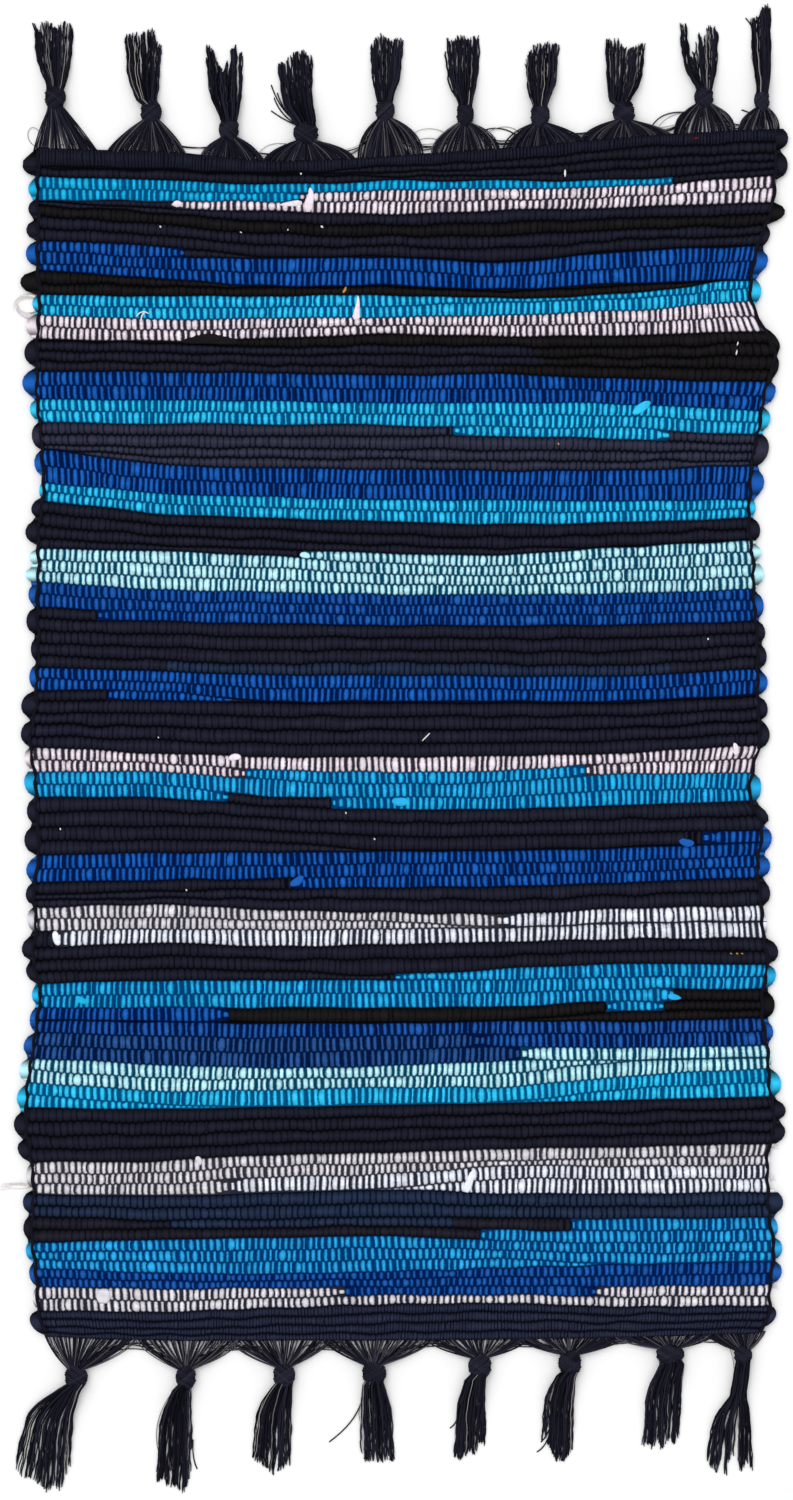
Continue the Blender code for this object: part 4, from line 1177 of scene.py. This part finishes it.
def links(yarns, rng, cloth, name, out):
    """Thin yarns that hang from one tassel's fan across to the next one's."""
    kind, number = name.rsplit("_", 1)
    after = TASSELS.get(f"{kind}_{int(number) + 1}")
    if after is None:
        return
    here = TASSELS[name]
    from_x, to_x = here[0] + 0.9 * here[2], after[0] - 0.9 * after[2]
    from_y, to_y = (spot[1] - out * (spot[3] - 2) for spot in (here, after))
    middle_x = (here[5] + after[4]) / 2 if out < 0 else (here[0] + after[0]) / 2
    edge = end_y(cloth, middle_x, out)
    for k in range(LINKS.get(name, MOST_LINKS)):
        pale = k % 3 == 0
        sag = edge + out * rng.uniform(-2, 6 if out < 0 else 9)
        spread = rng.uniform(0.15, 0.4) * (to_x - from_x)
        first, last = rng.uniform(0.2, 0.8), rng.uniform(0.2, 0.8)
        points = (
            (from_x + first * spread, from_y + first * (edge - from_y)),
            (from_x + spread, sag),
            (to_x - spread, sag),
            (to_x - last * spread, to_y + last * (edge - to_y)),
        )
        path = bezier(points, STRAY_POINTS)
        path[:, 0] += 0.5 * np.sin(np.linspace(0, 9, STRAY_POINTS) + k)
        size = YARN_RADIUS * (0.4 if pale else 0.75)
        shade = SHADES["pale" if pale else "dark"] * rng.uniform(0.8, 1.1)
        yarns.lay(path, 1.0 + 0.35 * k, size, shade)


def tassel(cloth, name, number, material):
    """One tassel, which stands for the CAD node of the same name."""
    rng = random.Random(SEED + number)
    out = -1 if name.startswith("top") else 1
    yarns = Yarns()
    fan(yarns, rng, cloth, name, out)
    knot_wraps(yarns, rng, name, out)
    tail(yarns, rng, name, out)
    for owner, shade, points in STRAYS:
        if owner == name:
            stray(yarns, rng, shade, points)
    links(yarns, rng, cloth, name, out)
    piece = yarns.piece("yarn_tassel_" + name, material)
    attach(piece, "root")
    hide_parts("tassel_" + name)
    return piece


def scraps(material):
    """Rag ends, folds, lint and small specks that lie on the face, in the colours of their rags;
    the pale and gold specks are partly painted glints.
    """
    names = list(RAGS)
    yarns = Yarns()
    for rag, lift, line in SCRAPS:
        spots = np.arange(len(line))
        t = np.linspace(0, spots[-1], 3 * spots[-1] + 1)
        join = smooth if len(line) > 2 else lambda knots, values, at: np.interp(at, knots, values)
        x, y, wide = (join(spots, values, t) for values in np.array(line, float).T)
        radius = wide * np.where((t == 0) | (t == t[-1]), 0.45, 1.0) * PIXEL / MM
        path = place(x, y, CREST + lift - 0.5)
        yarns.tube(path, radius, names.index(rag), sides=8, flat=0.8 / radius.max())
    index = np.round(np.concatenate(yarns.values)[:, 2]).astype(int)
    bright = np.array([[*colour_of(name, 0), 1.0] for name in names])
    dark = np.array([[*colour_of(name, 1), 0.0] for name in names])
    piece = mesh_piece(
        "rag_ends",
        np.concatenate(yarns.points),
        np.concatenate(yarns.quads),
        material,
        point_values={
            "weave": np.tile((0.5, 0.5, 12.0), (len(index), 1)),
            "rag": bright[index],
            "gap": dark[index],
        },
    )
    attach(piece, "root")
    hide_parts("woven_body")
    return piece


def fuzz(material):
    """Pale fluff that has come loose along the sides."""
    rng = random.Random(SEED)
    yarns = Yarns()
    for line, count, spread in FUZZ:
        for _ in range(count):
            points = [[v + rng.uniform(-spread, spread) for v in spot] for spot in line]
            points[0] = line[0]
            path = bezier(points, STRAY_POINTS)
            height = np.linspace(3.0, rng.uniform(0.4, 3.0), STRAY_POINTS)
            yarns.lay(path, height, FIBRE_RADIUS, rng.uniform(0.0, 1.0))
    piece = yarns.piece("side_fuzz", material)
    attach(piece, "root")
    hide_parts("woven_body")
    return piece


def selvage(cloth, side, material):
    """The outermost warp, a thick dark cord that the loops turn round."""
    y = np.linspace(end_y(cloth, 60.0, -1) + 4, EDGE_SPAN[1] - 3, WARP_POINTS)
    x = cloth.warp_x(y, side) + 0.8 * np.sin(y / 3.7) + 0.7 * np.sin(y / 11.0 + side)
    height = 5.6 + 0.45 * np.sin(y / 3.9 + side)
    yarns = Yarns()
    yarns.tube(place(x, y, height), WARP_RADIUS, 0.2, sides=6)
    piece = yarns.piece(("left", "right")[side] + "_selvage_warp", material)
    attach(piece, "root")
    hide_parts("woven_body")
    return piece


def build_floor():
    """A pale sweep of paper under the rug, as wide as the views need."""
    bpy.ops.mesh.primitive_plane_add(size=FLOOR_SIZE, location=(0, 0, 0))
    floor = bpy.context.object
    floor.name = "floor"
    floor.data.materials.append(floor_material())


def build_light():
    """White surroundings and one broad soft lamp from the far left."""
    world = bpy.data.worlds.new("studio")
    bpy.context.scene.world = world
    world.use_nodes = True
    background = world.node_tree.nodes["Background"]
    background.inputs["Color"].default_value = (1.0, 1.0, 1.0, 1.0)
    background.inputs["Strength"].default_value = SKY_STRENGTH
    lamp = bpy.data.lights.new("soft_lamp", "SUN")
    lamp.energy = LAMP_ENERGY
    lamp.angle = math.radians(LAMP_WIDTH)
    holder = bpy.data.objects.new("soft_lamp", lamp)
    holder.rotation_euler = (*(math.radians(tilt) for tilt in LAMP_TILT), 0)
    bpy.context.scene.collection.objects.link(holder)
    view = bpy.context.scene.view_settings
    view.view_transform = "Standard"
    view.look = "None"
    view.exposure = 0.0
    view.gamma = 1.0


def build_camera():
    """Straight above the middle of the photograph, which it frames exactly at the cloth."""
    lens, sensor, cloth_height = 100.0, 36.0, 5.0
    data = bpy.data.cameras.new("camera")
    data.lens = lens
    data.sensor_fit = "VERTICAL"
    data.sensor_height = sensor
    data.clip_end = 20.0
    camera = bpy.data.objects.new("camera", data)
    middle = place(PHOTO_WIDTH / 2, PHOTO_HEIGHT / 2, cloth_height)
    distance = PHOTO_HEIGHT * PIXEL * lens / sensor
    camera.location = Vector(middle) + Vector((0, 0, distance))
    bpy.context.scene.collection.objects.link(camera)
    bpy.context.scene.camera = camera


def main():
    build_camera()
    build_light()
    build_floor()
    cloth = Cloth()
    rag = weave_material()
    warp = yarn_material("warp_yarn", (14, 13, 19), (54, 54, 73))
    fluff = yarn_material("pale_fluff", (236, 231, 233), (255, 252, 253))
    half = cloth.picks // 2
    face = weave_grid(cloth, COLUMNS_PER_CELL, under=False)
    pieces = [
        weave_piece("weave_far_half", cloth, face, rag, 0, half),
        weave_piece("weave_near_half", cloth, face, rag, half, cloth.picks),
    ]
    back = weave_grid(cloth, UNDER_COLUMNS_PER_CELL, under=True)
    underside = weave_piece("weave_underside", cloth, back, rag, 0, cloth.picks, under=True)
    pieces += [selvage(cloth, side, warp) for side in (0, 1)]
    pieces += [tassel(cloth, name, number, warp) for number, name in enumerate(TASSELS)]
    pieces += [scraps(rag), fuzz(fluff)]


main()
